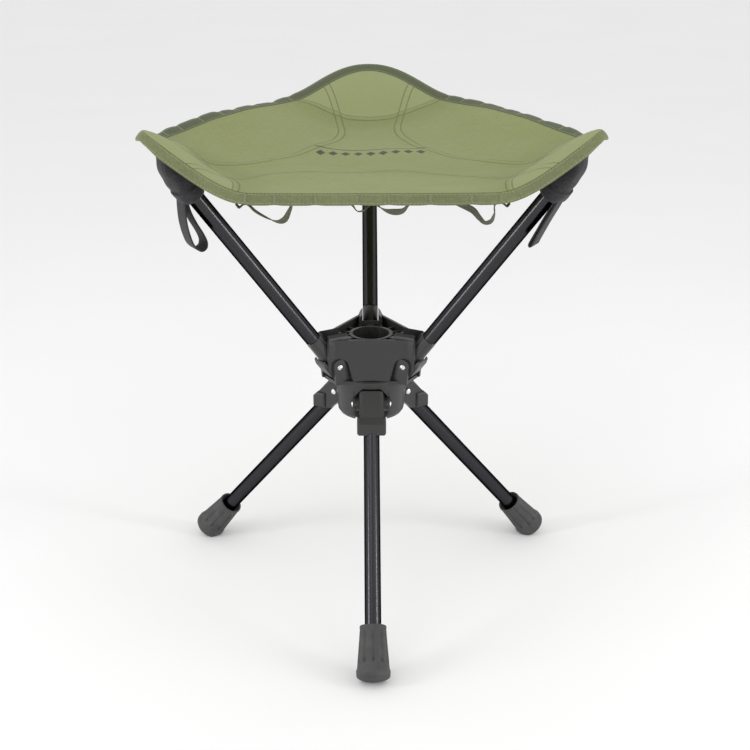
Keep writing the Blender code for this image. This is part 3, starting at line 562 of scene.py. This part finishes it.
def seat_height(azimuth, reach):
    """Height of the cloth at a share of the way from its middle to its edge."""
    lean = min(1.0, off_corner(azimuth) / 32.0)
    corner = 0.5 + 0.5 * math.cos(math.pi * lean**1.15)
    t = min(1.0, max(0.0, (reach - 0.58) / 0.42))
    hollow = 1.0 + 1.1 * math.sin(math.pi * lean) ** 2  # each corner is a trough, not a V
    steep = (0.86 * smooth((t - 0.07) / 0.93) + 0.14 * t * t) ** hollow
    shallow = reach**2.7
    lift = mix(shallow, steep, corner)
    height = mix(CENTRE_Z, edge_height(azimuth), lift)
    point = outward(azimuth) * (edge_radius(azimuth) * reach)
    arc, _, tongue, _ = seam_distances(point)
    fade = smooth((1.0 - reach) / 0.12) * smooth(reach / 0.2)
    seam_ridge = 0.9 * MM * math.exp(-((arc / (6.0 * MM)) ** 2))
    tongue_ridge = 0.8 * MM * math.exp(-((tongue / (6.0 * MM)) ** 2))
    slack = 1.7 * MM * ripple(point, 0.5, 21 * MM, 0.4) * ripple(point, 2.2, 34 * MM, 1.9)
    drape = 0.7 * MM * ripple(point, 1.3, 11 * MM, 2.3) * ripple(point, 2.9, 17 * MM, 0.2)
    return height + fade * (seam_ridge + tongue_ridge + slack + drape)


def seat_place(azimuth, reach):
    radius = edge_radius(azimuth) * reach
    place = AXIS + outward(azimuth) * radius
    place.z = seat_height(azimuth, reach)
    return place


def grid_reaches(count):
    """Shares from the middle to the edge, closer together near the edge."""
    return [1 - (1 - i / count) ** 1.25 for i in range(count + 1)]


def piece_name(kind, number, side):
    return f"{kind}_{number}{'a' if side > 0 else 'b'}"


def azimuths_of(number, side, steps):
    """From an arm's azimuth to the middle of the edge on one side of it, in rising order."""
    ends = sorted((ARM_AZIMUTHS[number - 1], ARM_AZIMUTHS[number - 1] + 60.0 * side))
    return [mix(*ends, i / steps) for i in range(steps + 1)]


def make_cloth(number, side):
    """The sixth of the seat cloth between an arm and the middle of an edge, a thin closed sheet."""
    azimuths = azimuths_of(number, side, 48)
    bm = bmesh.new()
    names = ("plan_x", "plan_y", "arc", "arc_run", "tongue", "tongue_run", "pucker")
    layers = [bm.verts.layers.float.new(name) for name in names]

    def add_vert(azimuth, reach, down):
        place = seat_place(azimuth, reach)
        place.z -= down
        vert = bm.verts.new(place)
        plan = Vector((place.x, place.y - AXIS_Y, 0.0))
        arc, arc_run, tongue, tongue_run = seam_distances(plan)
        near = min(abs(arc), abs(tongue))
        pucker = math.exp(-((near / (7.0 * MM)) ** 2))
        values = (plan.x, plan.y, arc, arc_run, tongue, tongue_run, pucker)
        for layer, value in zip(layers, values):
            vert[layer] = value
        return vert

    skins = []
    for down in (0.0, CLOTH_THICK):
        middle = add_vert(azimuths[0], 0.0, down)
        rows = [[add_vert(a, reach, down) for a in azimuths] for reach in grid_reaches(68)[1:]]
        for left, right in zip(rows[0], rows[0][1:]):
            bm.faces.new((middle, left, right))
        for low, high in zip(rows, rows[1:]):
            for i in range(len(low) - 1):
                bm.faces.new((low[i], high[i], high[i + 1], low[i + 1]))
        ends = [row[0] for row in rows], [row[-1] for row in reversed(rows)]
        skins.append([middle, *ends[0], *rows[-1][1:-1], *ends[1]])
    top, under = skins
    for i, vert in enumerate(top):
        j = (i + 1) % len(top)
        bm.faces.new((vert, top[j], under[j], under[i]))
    cloth = new_object(piece_name("seat_cloth", number, side), bm, "cloth", 60.0)
    smooth_across_joins(cloth)
    return cloth


def smooth_across_joins(cloth):
    """Gives the top and underside the normals of the whole seat, so that its pieces meet unseen."""
    mesh = cloth.data
    step = 0.4 * MM

    def height(x, y):
        point = Vector((x, y - AXIS_Y, 0.0))
        azimuth = math.degrees(math.atan2(point.y, point.x)) % 360
        return seat_height(azimuth, point.length / edge_radius(azimuth))

    tops = {}
    for vert in mesh.vertices:
        x, y = vert.co.x, vert.co.y
        slope_x = (height(x + step, y) - height(x - step, y)) / (2 * step)
        slope_y = (height(x, y + step) - height(x, y - step)) / (2 * step)
        tops[vert.index] = Vector((-slope_x, -slope_y, 1.0)).normalized()
    normals = [Vector()] * len(mesh.loops)
    for face in mesh.polygons:
        flat = abs(face.normal.z) > 0.25 and face.area > 1e-9
        for loop in face.loop_indices:
            normal = tops[mesh.loops[loop].vertex_index]
            if not flat or face.normal.dot(normal) * (1 if face.normal.z > 0 else -1) < 0.2:
                normals[loop] = face.normal.copy()
            else:
                normals[loop] = normal if face.normal.z > 0 else -normal
    mesh.normals_split_custom_set(normals)


def across_joint(obj, number, side):
    """Lets a piece of the seat bend between the hub and its arm. It stays with the hub where it
    meets the next arm's piece, at the middle of an edge, and goes with its arm near the tip."""
    edge = ARM_AZIMUTHS[number - 1] + 60.0 * side
    start = AXIS + UP * CENTRE_Z
    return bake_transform(obj, "hub", f"arm_{number}", start=start, end=start - sideways(edge) * side * BLEND_RUN)


# ---- seat hem -----------------------------------------------------------------------------------


def edge_run(azimuth):
    """Distance along the nearest straight edge from its middle."""
    lean = math.radians(60.0 - off_corner(azimuth))
    return edge_radius(azimuth) * math.sin(lean)


TACK_RUNS = tuple(MM * run for run in (14.0, 50.0, 86.0, 112.0))

# azimuth, and how far the hem stands up (positive) or hangs down there, in degrees
HEM_PITCHES = (
    (0, 24), (12, 6), (40, 8), (52, 26), (66, 34), (90, 38), (112, 34), (122, 6), (146, 8), (160, 30),
    (182, 34), (190, 10), (197, -14), (210, -60), (222, -72), (270, -74), (318, -72), (330, -60),
    (343, -14), (351, 6),
)


def hem_pitch(azimuth):
    places, pitches = zip(*HEM_PITCHES)
    return float(np.interp(azimuth % 360, places, pitches, period=360))


def tack_pull(azimuth):
    """1 at the bar tacks that hold the ribbon on, falling to 0 between them."""
    run = edge_run(azimuth)
    return max(math.exp(-(((run - tack) / (5.0 * MM)) ** 2)) for tack in TACK_RUNS)


def hem_frame(azimuth):
    """(start point, direction across the hem, its face direction, its width) at one azimuth."""
    edge = seat_place(azimuth, 1.0) - UP * CLOTH_THICK / 2
    ahead = seat_place(azimuth + 0.4, 1.0) - seat_place(azimuth - 0.4, 1.0)
    ahead.normalize()
    out = ahead.cross(UP).normalized()
    over = out.cross(ahead).normalized()
    pitch = hem_pitch(azimuth)
    pull = tack_pull(azimuth)
    turn = math.radians(pitch + (2.0 - 5.0 * pull) * math.copysign(1, pitch))
    run = out * math.cos(turn) + over * math.sin(turn)
    face = over * math.cos(turn) - out * math.sin(turn)
    folded = smooth(1.5 - off_corner(azimuth) / 4.0) if pitch < 0 else 0.0
    width = HEM_WIDTH * mix(1.0, 0.8, folded) * (1 - 0.06 * pull)
    return edge + out * 0.4 * MM, run, face, width


def make_hem(number, side):
    """The folded hem along one piece's edge: a doubled band sewn to the cloth."""
    rows, runs, sides, hem_painted_shades = [], [], [], []
    length = 0.0
    before = None
    for azimuth in azimuths_of(number, side, 90):
        start, run, face, width = hem_frame(azimuth)
        # painted shade: 1 where the hem stands up and its inner face shows, 0 where it hangs down
        hem_painted_shade = smooth((hem_pitch(azimuth) + 12.0) / 18.0)
        length += (start - before).length if before else 0.0
        before = start
        half = HEM_THICK / 2
        pull = tack_pull(azimuth)
        belly = 0.35 * MM * (1 - pull) * (1 + 0.4 * math.sin(length / (6 * MM)))
        section = []
        for step in range(9):
            share = step / 8
            section.append((share * width, half + belly * math.sin(math.pi * share)))
        section.append((width + half * 0.8, 0.0))
        for step in range(9):
            share = 1 - step / 8
            section.append((share * width, -half - belly * 0.4 * math.sin(math.pi * share)))
        rows.append([start + run * w + face * t for w, t in section])
        runs.append([length] * len(section))
        sides.append([w - width / 2 for w, _ in section])
        hem_painted_shades.append([hem_painted_shade] * len(section))
    bm = bmesh.new()
    add_rows(bm, rows, layers={"run": runs, "across": sides, "hem_painted_shade": hem_painted_shades})
    return new_object(piece_name("seat_hem_band", number, side), bm, "hem", 70.0)


def make_tacks(number, side):
    """Short bars of tight zigzag thread across the hem, where the ribbon is held on."""
    middle = ARM_AZIMUTHS[number - 1]
    bm = bmesh.new()
    for tack in TACK_RUNS:
        lean = 60.0 - math.degrees(math.atan2(tack, EDGE_R))
        start, run, face, width = hem_frame(middle + side * lean)
        ahead = run.cross(face).normalized() * 1.3 * MM
        for turn in range(11):
            share = 0.12 + 0.76 * turn / 10
            skew = run * 0.35 * MM * (1 if turn % 2 else -1)
            centre = start + run * width * share + face * (HEM_THICK / 2 + 0.3 * MM)
            add_thread(bm, centre - ahead + skew, centre + ahead - skew, face, 0.28 * MM)
    return new_object(piece_name("tack_bars", number, side), bm, "thread")


def add_thread(bm, start, end, face, radius):
    """One stitch: a short rounded bar that dips into the cloth at both ends."""
    along = end - start
    side = along.cross(face).normalized()
    rows = []
    for share in (0.0, 0.12, 0.5, 0.88, 1.0):
        lift = 0.0 if share in (0.0, 1.0) else radius
        size = radius * (0.4 if share in (0.0, 1.0) else 1.0)
        centre = start + along * share + face * (lift - radius)
        corners = [math.tau * i / 6 for i in range(6)]
        rows.append([centre + side * size * math.cos(c) + face * size * math.sin(c) for c in corners])
    add_rows(bm, rows)


# ---- ribbons under the edges --------------------------------------------------------------------

BACK_RIBBON_SPAN = 0.86  # a back ribbon's length as a share of the front one's
BACK_RIBBON_SAG = 0.55  # and how much of the front one's droop it keeps

# millimetres along the edge and below the hem's sewing line, and degrees of turn about its run
RIBBON_LEFT = (
    (0.0, 6.0, 0), (4.0, 12.0, 10), (9.0, 16.0, 20), (14.0, 16.0, 15), (19.0, 10.0, 0), (28.0, 8.0, 0),
    (48.0, 8.0, 0), (64.0, 8.0, 0), (70.0, 8.8, 20), (73.0, 15.0, 50), (77.5, 23.5, 60), (84.0, 25.5, 30),
    (93.0, 22.0, 8), (103.0, 16.0, 0), (109.0, 10.0, 0), (113.0, 9.5, 0), (117.0, 12.5, 0), (120.0, 9.0, 0),
)
RIBBON_RIGHT = (
    (0.0, 6.0, 0), (3.0, 10.0, 0), (10.0, 15.0, 25), (18.0, 17.0, 55), (26.0, 16.0, 50), (33.0, 9.5, 20),
    (44.0, 8.0, 0), (58.0, 8.0, 0), (68.0, 8.6, 15), (80.0, 12.0, 50), (88.0, 16.0, 60), (93.5, 22.5, 50),
    (98.5, 27.0, 35), (104.0, 25.5, 50), (106.5, 19.0, 60), (106.8, 12.0, 50), (109.0, 8.6, 20),
    (114.0, 9.5, 0), (117.5, 12.0, 0), (120.0, 9.0, 0),
)


def make_ribbon(number, side):
    """Half of one edge's narrow ribbon: from the middle of the edge towards one arm's corner. The
    back ribbons are shorter and lie closer to the cloth, so that less of them shows through it
    when the arms are folded. With the arms right up, every ribbon still passes through the cloth."""
    edge = ARM_AZIMUTHS[number - 1] + 60.0 * side
    out, along = outward(edge), sideways(edge) * -side
    front = round(edge) % 360 == 270
    points = RIBBON_LEFT if side > 0 else RIBBON_RIGHT
    base = FRONT_EDGE_Z - 1.0 * MM if front else BACK_EDGE_Z - 1.5 * MM
    inset = 4.6 * MM if front else 6.0 * MM
    path, across = [], []
    for point in curve_through([(s, drop, turn) for s, drop, turn in points], 4):
        run = point.x * MM * (1.0 if front else BACK_RIBBON_SPAN)
        plan = out * (EDGE_R - inset) + along * run
        near_middle = 1 - smooth((point.x - 66.0) / 14.0)
        shallow = BACK_RIBBON_SAG * max(0.0, point.y - 8.0) * near_middle
        drop = (point.y if front else shallow) * MM
        lift = 0.0 if front else under_cloth(plan) - base
        path.append(AXIS + plan + UP * (base + lift - drop))
        turn = math.radians(point.z)
        across.append(out * math.cos(turn) + UP * math.sin(turn))
    rows, layers = tape_rows(path, across, 4.0 * MM, TAPE_THICK)
    bm = bmesh.new()
    add_rows(bm, rows, layers=layers)
    return new_object(piece_name("ribbon_tape", number, side), bm, "ribbon", 70.0)


def under_cloth(point):
    """Height just under the cloth, taken over a tape's width, at a plan point near an edge."""
    azimuth = math.degrees(math.atan2(point.y, point.x)) % 360
    edge_at = edge_radius(azimuth)
    reaches = [min(1.0, (point.length + step * MM) / edge_at) for step in (-6.0, -2.0, 4.0)]
    return min(seat_height(azimuth, reach) for reach in reaches) - CLOTH_THICK - 1.2 * MM


# ---- webbing at the arm ends --------------------------------------------------------------------


def make_pocket(number):
    """The doubled webbing sleeve on an arm's tip, creased where it folds round the tube."""
    steps = 64
    # millimetres from the mouth, half thickness, half width and shift to the arm's outer side
    stations = (
        (0.0, 11.7, 17.6, 1.2), (2.0, 12.5, 18.8, 1.3), (9.0, 12.7, 18.6, 1.5), (13.0, 11.4, 17.0, 1.5),
        (16.0, 11.1, 16.6, 1.4), (22.0, 11.6, 17.0, 1.2), (28.0, 11.0, 16.2, 1.0), (36.0, 10.2, 14.2, 0.6),
        (42.0, 8.0, 12.0, 0.2), (48.0, 4.2, 10.4, 0.0), (57.0, 1.7, 9.4, -0.4), (68.0, 1.0, 8.0, -1.4),
    )
    path = curve_through([(w, x, y) for w, x, y, _ in stations], 5)
    shifts = curve_through([(w, shift, 0) for w, _, _, shift in stations], 5)
    rows, runs, sides = [], [], []
    for point, shift in zip(path, shifts):
        row, row_sides = [], []
        for i in range(steps):
            turn = math.tau * i / steps
            flat = abs(math.cos(turn)) ** 0.8 * math.copysign(1, math.cos(turn))
            wide = abs(math.sin(turn)) ** 0.9 * math.copysign(1, math.sin(turn))
            crease = 0.35 * math.sin(3 * turn + point.x / 7.0)
            crease += 0.25 * math.sin(5 * turn - point.x / 5.0)
            x = point.y * flat + shift.y + crease
            y = point.z * wide
            row.append(Vector((x * MM, y * MM, POCKET_MOUTH + point.x * MM)))
            row_sides.append(y * MM)
        rows.append(row)
        runs.append([point.x * MM] * steps)
        sides.append(row_sides)
    bore = TUBE_R + 0.5 * MM, TUBE_R + 0.7 * MM
    inner = [ring(*bore, POCKET_MOUTH + depth * MM, steps) for depth in (30.0, 4.0, 0.0)]
    inner_runs = [[0.0] * steps for _ in inner]
    inner_sides = [[p.y for p in row] for row in inner]
    bm = bmesh.new()
    layers = {"run": inner_runs + runs, "across": inner_sides + sides}
    add_rows(bm, inner + rows, layers=layers)
    pocket = new_object(f"pocket_sleeve_{number}", bm, "webbing", 60.0)
    pocket.matrix_world = arm_matrix(number)
    return pocket


def make_pocket_seam(number):
    """The raised cross seam round the pocket, a little above its mouth."""
    bm = bmesh.new()
    steps = 48
    rows = []
    for i in range(steps):
        turn = math.tau * i / steps
        x = 12.2 * MM * math.cos(turn) + 1.5 * MM
        centre = Vector((x, 17.9 * MM * math.sin(turn), POCKET_MOUTH + 11.0 * MM))
        centre.z += 1.2 * MM * math.cos(2 * turn)
        out = Vector((math.cos(turn), math.sin(turn) * 0.7, 0)).normalized()
        row = []
        for j in range(8):
            angle = math.tau * j / 8
            raised = out * (0.8 * MM * math.cos(angle) + 0.2 * MM)
            row.append(centre + raised + UP * 1.6 * MM * math.sin(angle))
        rows.append(row)
    rows.append(rows[0])
    run = [[i * 1.9 * MM] * 8 for i in range(steps + 1)]
    side = [[0.0] * 8 for _ in range(steps + 1)]
    add_rows(bm, rows, caps=False, layers={"run": run, "across": side})
    bmesh.ops.remove_doubles(bm, verts=bm.verts, dist=1e-6)
    seam = new_object(f"pocket_seam_{number}", bm, "webbing")
    seam.matrix_world = arm_matrix(number)
    return seam


# radius and height in the arm's plane, sideways shift, half width, all in millimetres
LOOP_HANGING = (
    (201.6, 250.0, 0.0, 9.4), (201.6, 241.0, 0.0, 9.4), (200.9, 228.0, 0.5, 9.4),
    (198.5, 216.0, 1.0, 9.4), (194.6, 205.6, 1.5, 9.4), (188.4, 200.0, 1.5, 9.4),
    (182.8, 201.6, 1.0, 9.4), (181.6, 207.5, 0.5, 9.4), (185.0, 216.0, 0.0, 9.4),
    (190.6, 226.0, -0.5, 9.4), (195.6, 236.5, -0.5, 9.4), (198.4, 245.0, 0.0, 9.4),
)
LOOP_TUCKED = (
    (201.0, 248.0, -3.0, 8.0), (196.0, 238.5, -3.0, 8.2), (189.5, 227.0, -3.0, 8.6),
    (183.8, 215.5, -4.0, 9.0), (179.4, 206.8, -4.0, 9.2), (177.3, 202.6, -4.0, 9.2),
    (175.4, 202.0, -4.0, 9.2), (175.0, 204.2, -4.0, 9.2), (177.0, 208.4, -4.0, 9.2),
    (181.4, 217.0, -3.5, 9.0), (187.2, 228.4, -3.0, 8.6), (193.8, 240.0, -3.0, 8.2),
    (197.6, 246.0, -3.0, 8.0),
)


def make_pull_loop(number):
    """A webbing loop sewn into the mouth of the pocket."""
    azimuth = ARM_AZIMUTHS[number - 1]
    out, side = outward(azimuth), sideways(azimuth)
    stations = LOOP_TUCKED if number == 2 else LOOP_HANGING
    path = curve_through([(r, z, s) for r, z, s, _ in stations], 6)
    widths = curve_through([(r, z, w) for r, z, _, w in stations], 6)
    places = [AXIS + out * p.x * MM + UP * (HUB_Z + p.y * MM) + side * p.z * MM for p in path]
    half = sum(w.z for w in widths) / len(widths)
    rows, layers = tape_rows(places, [side] * len(places), half * MM, WEBBING_THICK)
    bm = bmesh.new()
    add_rows(bm, rows, layers=layers)
    return new_object(f"pull_loop_strap_{number}", bm, "webbing", 70.0)


# ---- tubes and feet -----------------------------------------------------------------------------


def make_tube(name, matrix, start, end):
    """A drawn tube with softly broken ends."""
    steps = 56
    wall, edge = 1.2 * MM, 0.35 * MM
    profile = (
        (TUBE_R - wall, start + edge), (TUBE_R - wall + edge, start), (TUBE_R - edge, start),
        (TUBE_R, start + edge), (TUBE_R, mix(start, end, 0.5)), (TUBE_R, end - edge), (TUBE_R - edge, end),
        (TUBE_R - wall + edge, end), (TUBE_R - wall, end - edge),
    )
    rows = [ring(r, r, w, steps) for r, w in profile]
    bm = bmesh.new()
    made = add_rows(bm, rows, caps=False)
    for i in range(steps):
        j = (i + 1) % steps
        bm.faces.new((made[-1][i], made[-1][j], made[0][j], made[0][i]))
    tube = new_object(name, bm, "tube", 40.0)
    tube.matrix_world = matrix
    return tube


def foot_radius(w, turn):
    """Outer radius of a foot at a distance down it: fluted skirt, band, then a domed sole."""
    if w < 40.5:
        body = mix(12.6, 15.6, (w / 40.5) ** 1.15)
    elif w < 43.0:
        body = mix(15.6, 16.5, smooth((w - 40.5) / 2.5))
    elif w < 47.5:
        body = 16.5 - 0.25 * (w - 43.0) / 4.5
    else:
        body = 16.25 * math.sqrt(max(0.0, 1 - ((w - 47.5) / 5.6) ** 2))
    skirt = smooth((w - 3.0) / 5.0) * smooth((36.5 - w) / 2.0)
    groove = max(0.0, math.cos(10 * turn)) ** 1.5
    pit = math.exp(-(((w - 34.0) / 2.2) ** 2)) * max(0.0, math.cos(10 * turn)) ** 4
    rim = 0.35 * math.exp(-(((w - 1.4) / 1.0) ** 2))
    return body - 1.25 * skirt * groove - 0.9 * pit + rim


def make_foot(number):
    """A fluted rubber foot, worn flat where it meets the floor."""
    steps = 120
    depths = [0.0, 0.5, 1.0, 1.6, 2.4, 3.4, 4.6, 6.0, 8.0, 10.5]
    depths += [13.0 + 2.6 * i for i in range(8)]
    depths += [32.2, 33.2, 34.2, 35.2, 36.2, 37.2, 38.6, 40.0, 40.8, 41.6, 42.4, 43.2, 44.6, 46.2, 47.5]
    depths += [47.5 + 5.55 * math.sin(math.radians(9.0 * i)) for i in range(1, 10)]
    turns = [math.tau * i / steps for i in range(steps)]
    rows = [ring(8.25 * MM, 8.25 * MM, w * MM, steps) for w in (37.0, 6.0)]
    rows.append(ring(10.4 * MM, 10.4 * MM, 2.0 * MM, steps))
    rows.append(ring(11.2 * MM, 11.2 * MM, 0.2 * MM, steps))
    for w in depths:
        radii = [foot_radius(w, t) for t in turns]
        rows.append(
            [Vector((r * math.cos(t) * MM, r * math.sin(t) * MM, w * MM)) for r, t in zip(radii, turns)]
        )
    matrix = leg_matrix(number) @ Matrix.Translation((0, 0, FOOT_START))
    world = [[matrix @ p for p in row] for row in rows]
    for row in world:
        for point in row:
            point.z = max(point.z, 0.0)
    bm = bmesh.new()
    add_rows(bm, world)
    return new_object(f"foot_rubber_{number}", bm, "rubber", 50.0)


# ---- CAD nodes that stay in view ----------------------------------------------------------------


def finish_cad_node(name, look, edge):
    """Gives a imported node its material, welded smooth shading and softened edges."""
    node = frame["nodes"][name]
    node.data.materials.clear()
    node.data.materials.append(LOOKS[look])
    weld = node.modifiers.new("weld", "WELD")
    weld.merge_threshold = 0.002 * MM
    bevel = node.modifiers.new("bevel", "BEVEL")
    bevel.width = edge
    bevel.segments = 2
    bevel.limit_method = "ANGLE"
    bevel.angle_limit = math.radians(35.0)
    bevel.harden_normals = True
    bevel.use_clamp_overlap = True


# ---- assembly -----------------------------------------------------------------------------------


def build_seat():
    for number in (1, 2, 3):
        for side in (1, -1):
            cloth, hem = make_cloth(number, side), make_hem(number, side)
            tacks, tape = make_tacks(number, side), make_ribbon(number, side)
            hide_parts("seat_panel")
            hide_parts("seat_hem")
            edge = (ARM_AZIMUTHS[number - 1] + 60.0 * side) % 360
            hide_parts(f"ribbon_{LEG_AZIMUTHS.index(edge) + 1}")
            for piece in (cloth, hem, tacks, tape):
                across_joint(piece, number, side)


def build_arms():
    for number in (1, 2, 3):
        body = f"arm_{number}"
        tube = make_tube(f"arm_tube_drawn_{number}", arm_matrix(number), *ARM_TUBE)
        pocket, seam, loop = make_pocket(number), make_pocket_seam(number), make_pull_loop(number)
        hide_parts(f"arm_tube_{number}")
        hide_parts(f"pocket_{number}")
        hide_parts(f"pull_loop_{number}")
        for piece in (tube, pocket, seam, loop):
            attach(piece, body)


def build_legs():
    for number in (1, 2, 3):
        body = f"leg_{number}"
        tube = make_tube(f"leg_tube_drawn_{number}", leg_matrix(number), *LEG_TUBE)
        foot = make_foot(number)
        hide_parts(f"leg_tube_{number}")
        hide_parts(f"foot_{number}")
        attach(tube, body)
        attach(foot, body)


def finish_cad():
    for name in ("upper_hub", "lower_hub"):
        finish_cad_node(name, "plastic", 0.55 * MM)
    finish_cad_node("hub_screw", "steel", 0.2 * MM)
    for number in (1, 2, 3):
        finish_cad_node(f"arm_knuckle_{number}", "plastic", 0.45 * MM)
        finish_cad_node(f"leg_knuckle_{number}", "plastic", 0.55 * MM)
        finish_cad_node(f"arm_cap_{number}", "plastic", 0.2 * MM)
        finish_cad_node(f"arm_pin_{number}", "steel", 0.15 * MM)
        finish_cad_node(f"leg_pin_{number}", "steel", 0.15 * MM)


# ---- stage --------------------------------------------------------------------------------------

CAMERA_BACK = 1389.0 * MM
CAMERA_HEIGHT = HUB_Z + 564.0 * MM
CAMERA_PITCH = math.radians(20.74)
CAMERA_YAW = math.radians(0.63)
FOCAL = 69.1
SENSOR = 36.0


def add_camera():
    data = bpy.data.cameras.new("camera")
    data.lens = FOCAL
    data.sensor_width = SENSOR
    data.shift_x = 0.0054
    data.clip_start = 0.05
    camera = bpy.data.objects.new("camera", data)
    bpy.context.scene.collection.objects.link(camera)
    back = Vector((-math.sin(CAMERA_YAW), -math.cos(CAMERA_YAW), 0.0))
    camera.location = AXIS + back * CAMERA_BACK + UP * CAMERA_HEIGHT
    aim = -back * math.cos(CAMERA_PITCH) - UP * math.sin(CAMERA_PITCH)
    camera.rotation_euler = aim.to_track_quat("-Z", "Y").to_euler()
    bpy.context.scene.camera = camera


def add_light(name, place, aim, size, power):
    data = bpy.data.lights.new(name, "AREA")
    data.shape = "RECTANGLE"
    data.size, data.size_y = size
    data.energy = power
    light = bpy.data.objects.new(name, data)
    bpy.context.scene.collection.objects.link(light)
    light.location = place
    light.rotation_euler = (Vector(aim) - Vector(place)).to_track_quat("-Z", "Y").to_euler()


def add_floor():
    bm = bmesh.new()
    bmesh.ops.create_grid(bm, x_segments=2, y_segments=2, size=14.0)
    floor = new_object("floor", bm, "floor")


def add_stage():
    scene = bpy.context.scene
    scene.view_settings.view_transform = "Standard"
    world = bpy.data.worlds.new("studio")
    world.use_nodes = True
    sky = world.node_tree.nodes["Background"]
    sky.inputs["Color"].default_value = (1.0, 1.0, 1.0, 1.0)
    sky.inputs["Strength"].default_value = 0.92
    scene.world = world
    add_light("key", (-0.9, -1.0, 2.3), (0.0, 0.0, 0.35), (1.4, 1.0), 5.0)
    add_light("fill", (1.1, -0.7, 1.9), (0.0, 0.0, 0.3), (1.2, 0.8), 2.5)
    add_light("strip_left", (-1.5, -0.65, 0.55), (0.0, 0.0, 0.3), (0.14, 1.3), 9.0)
    add_light("strip_right", (1.5, -0.65, 0.55), (0.0, 0.0, 0.3), (0.14, 1.3), 9.0)
    add_floor()
    add_camera()


def main():
    build_seat()
    build_arms()
    build_legs()
    finish_cad()
    add_stage()


main()
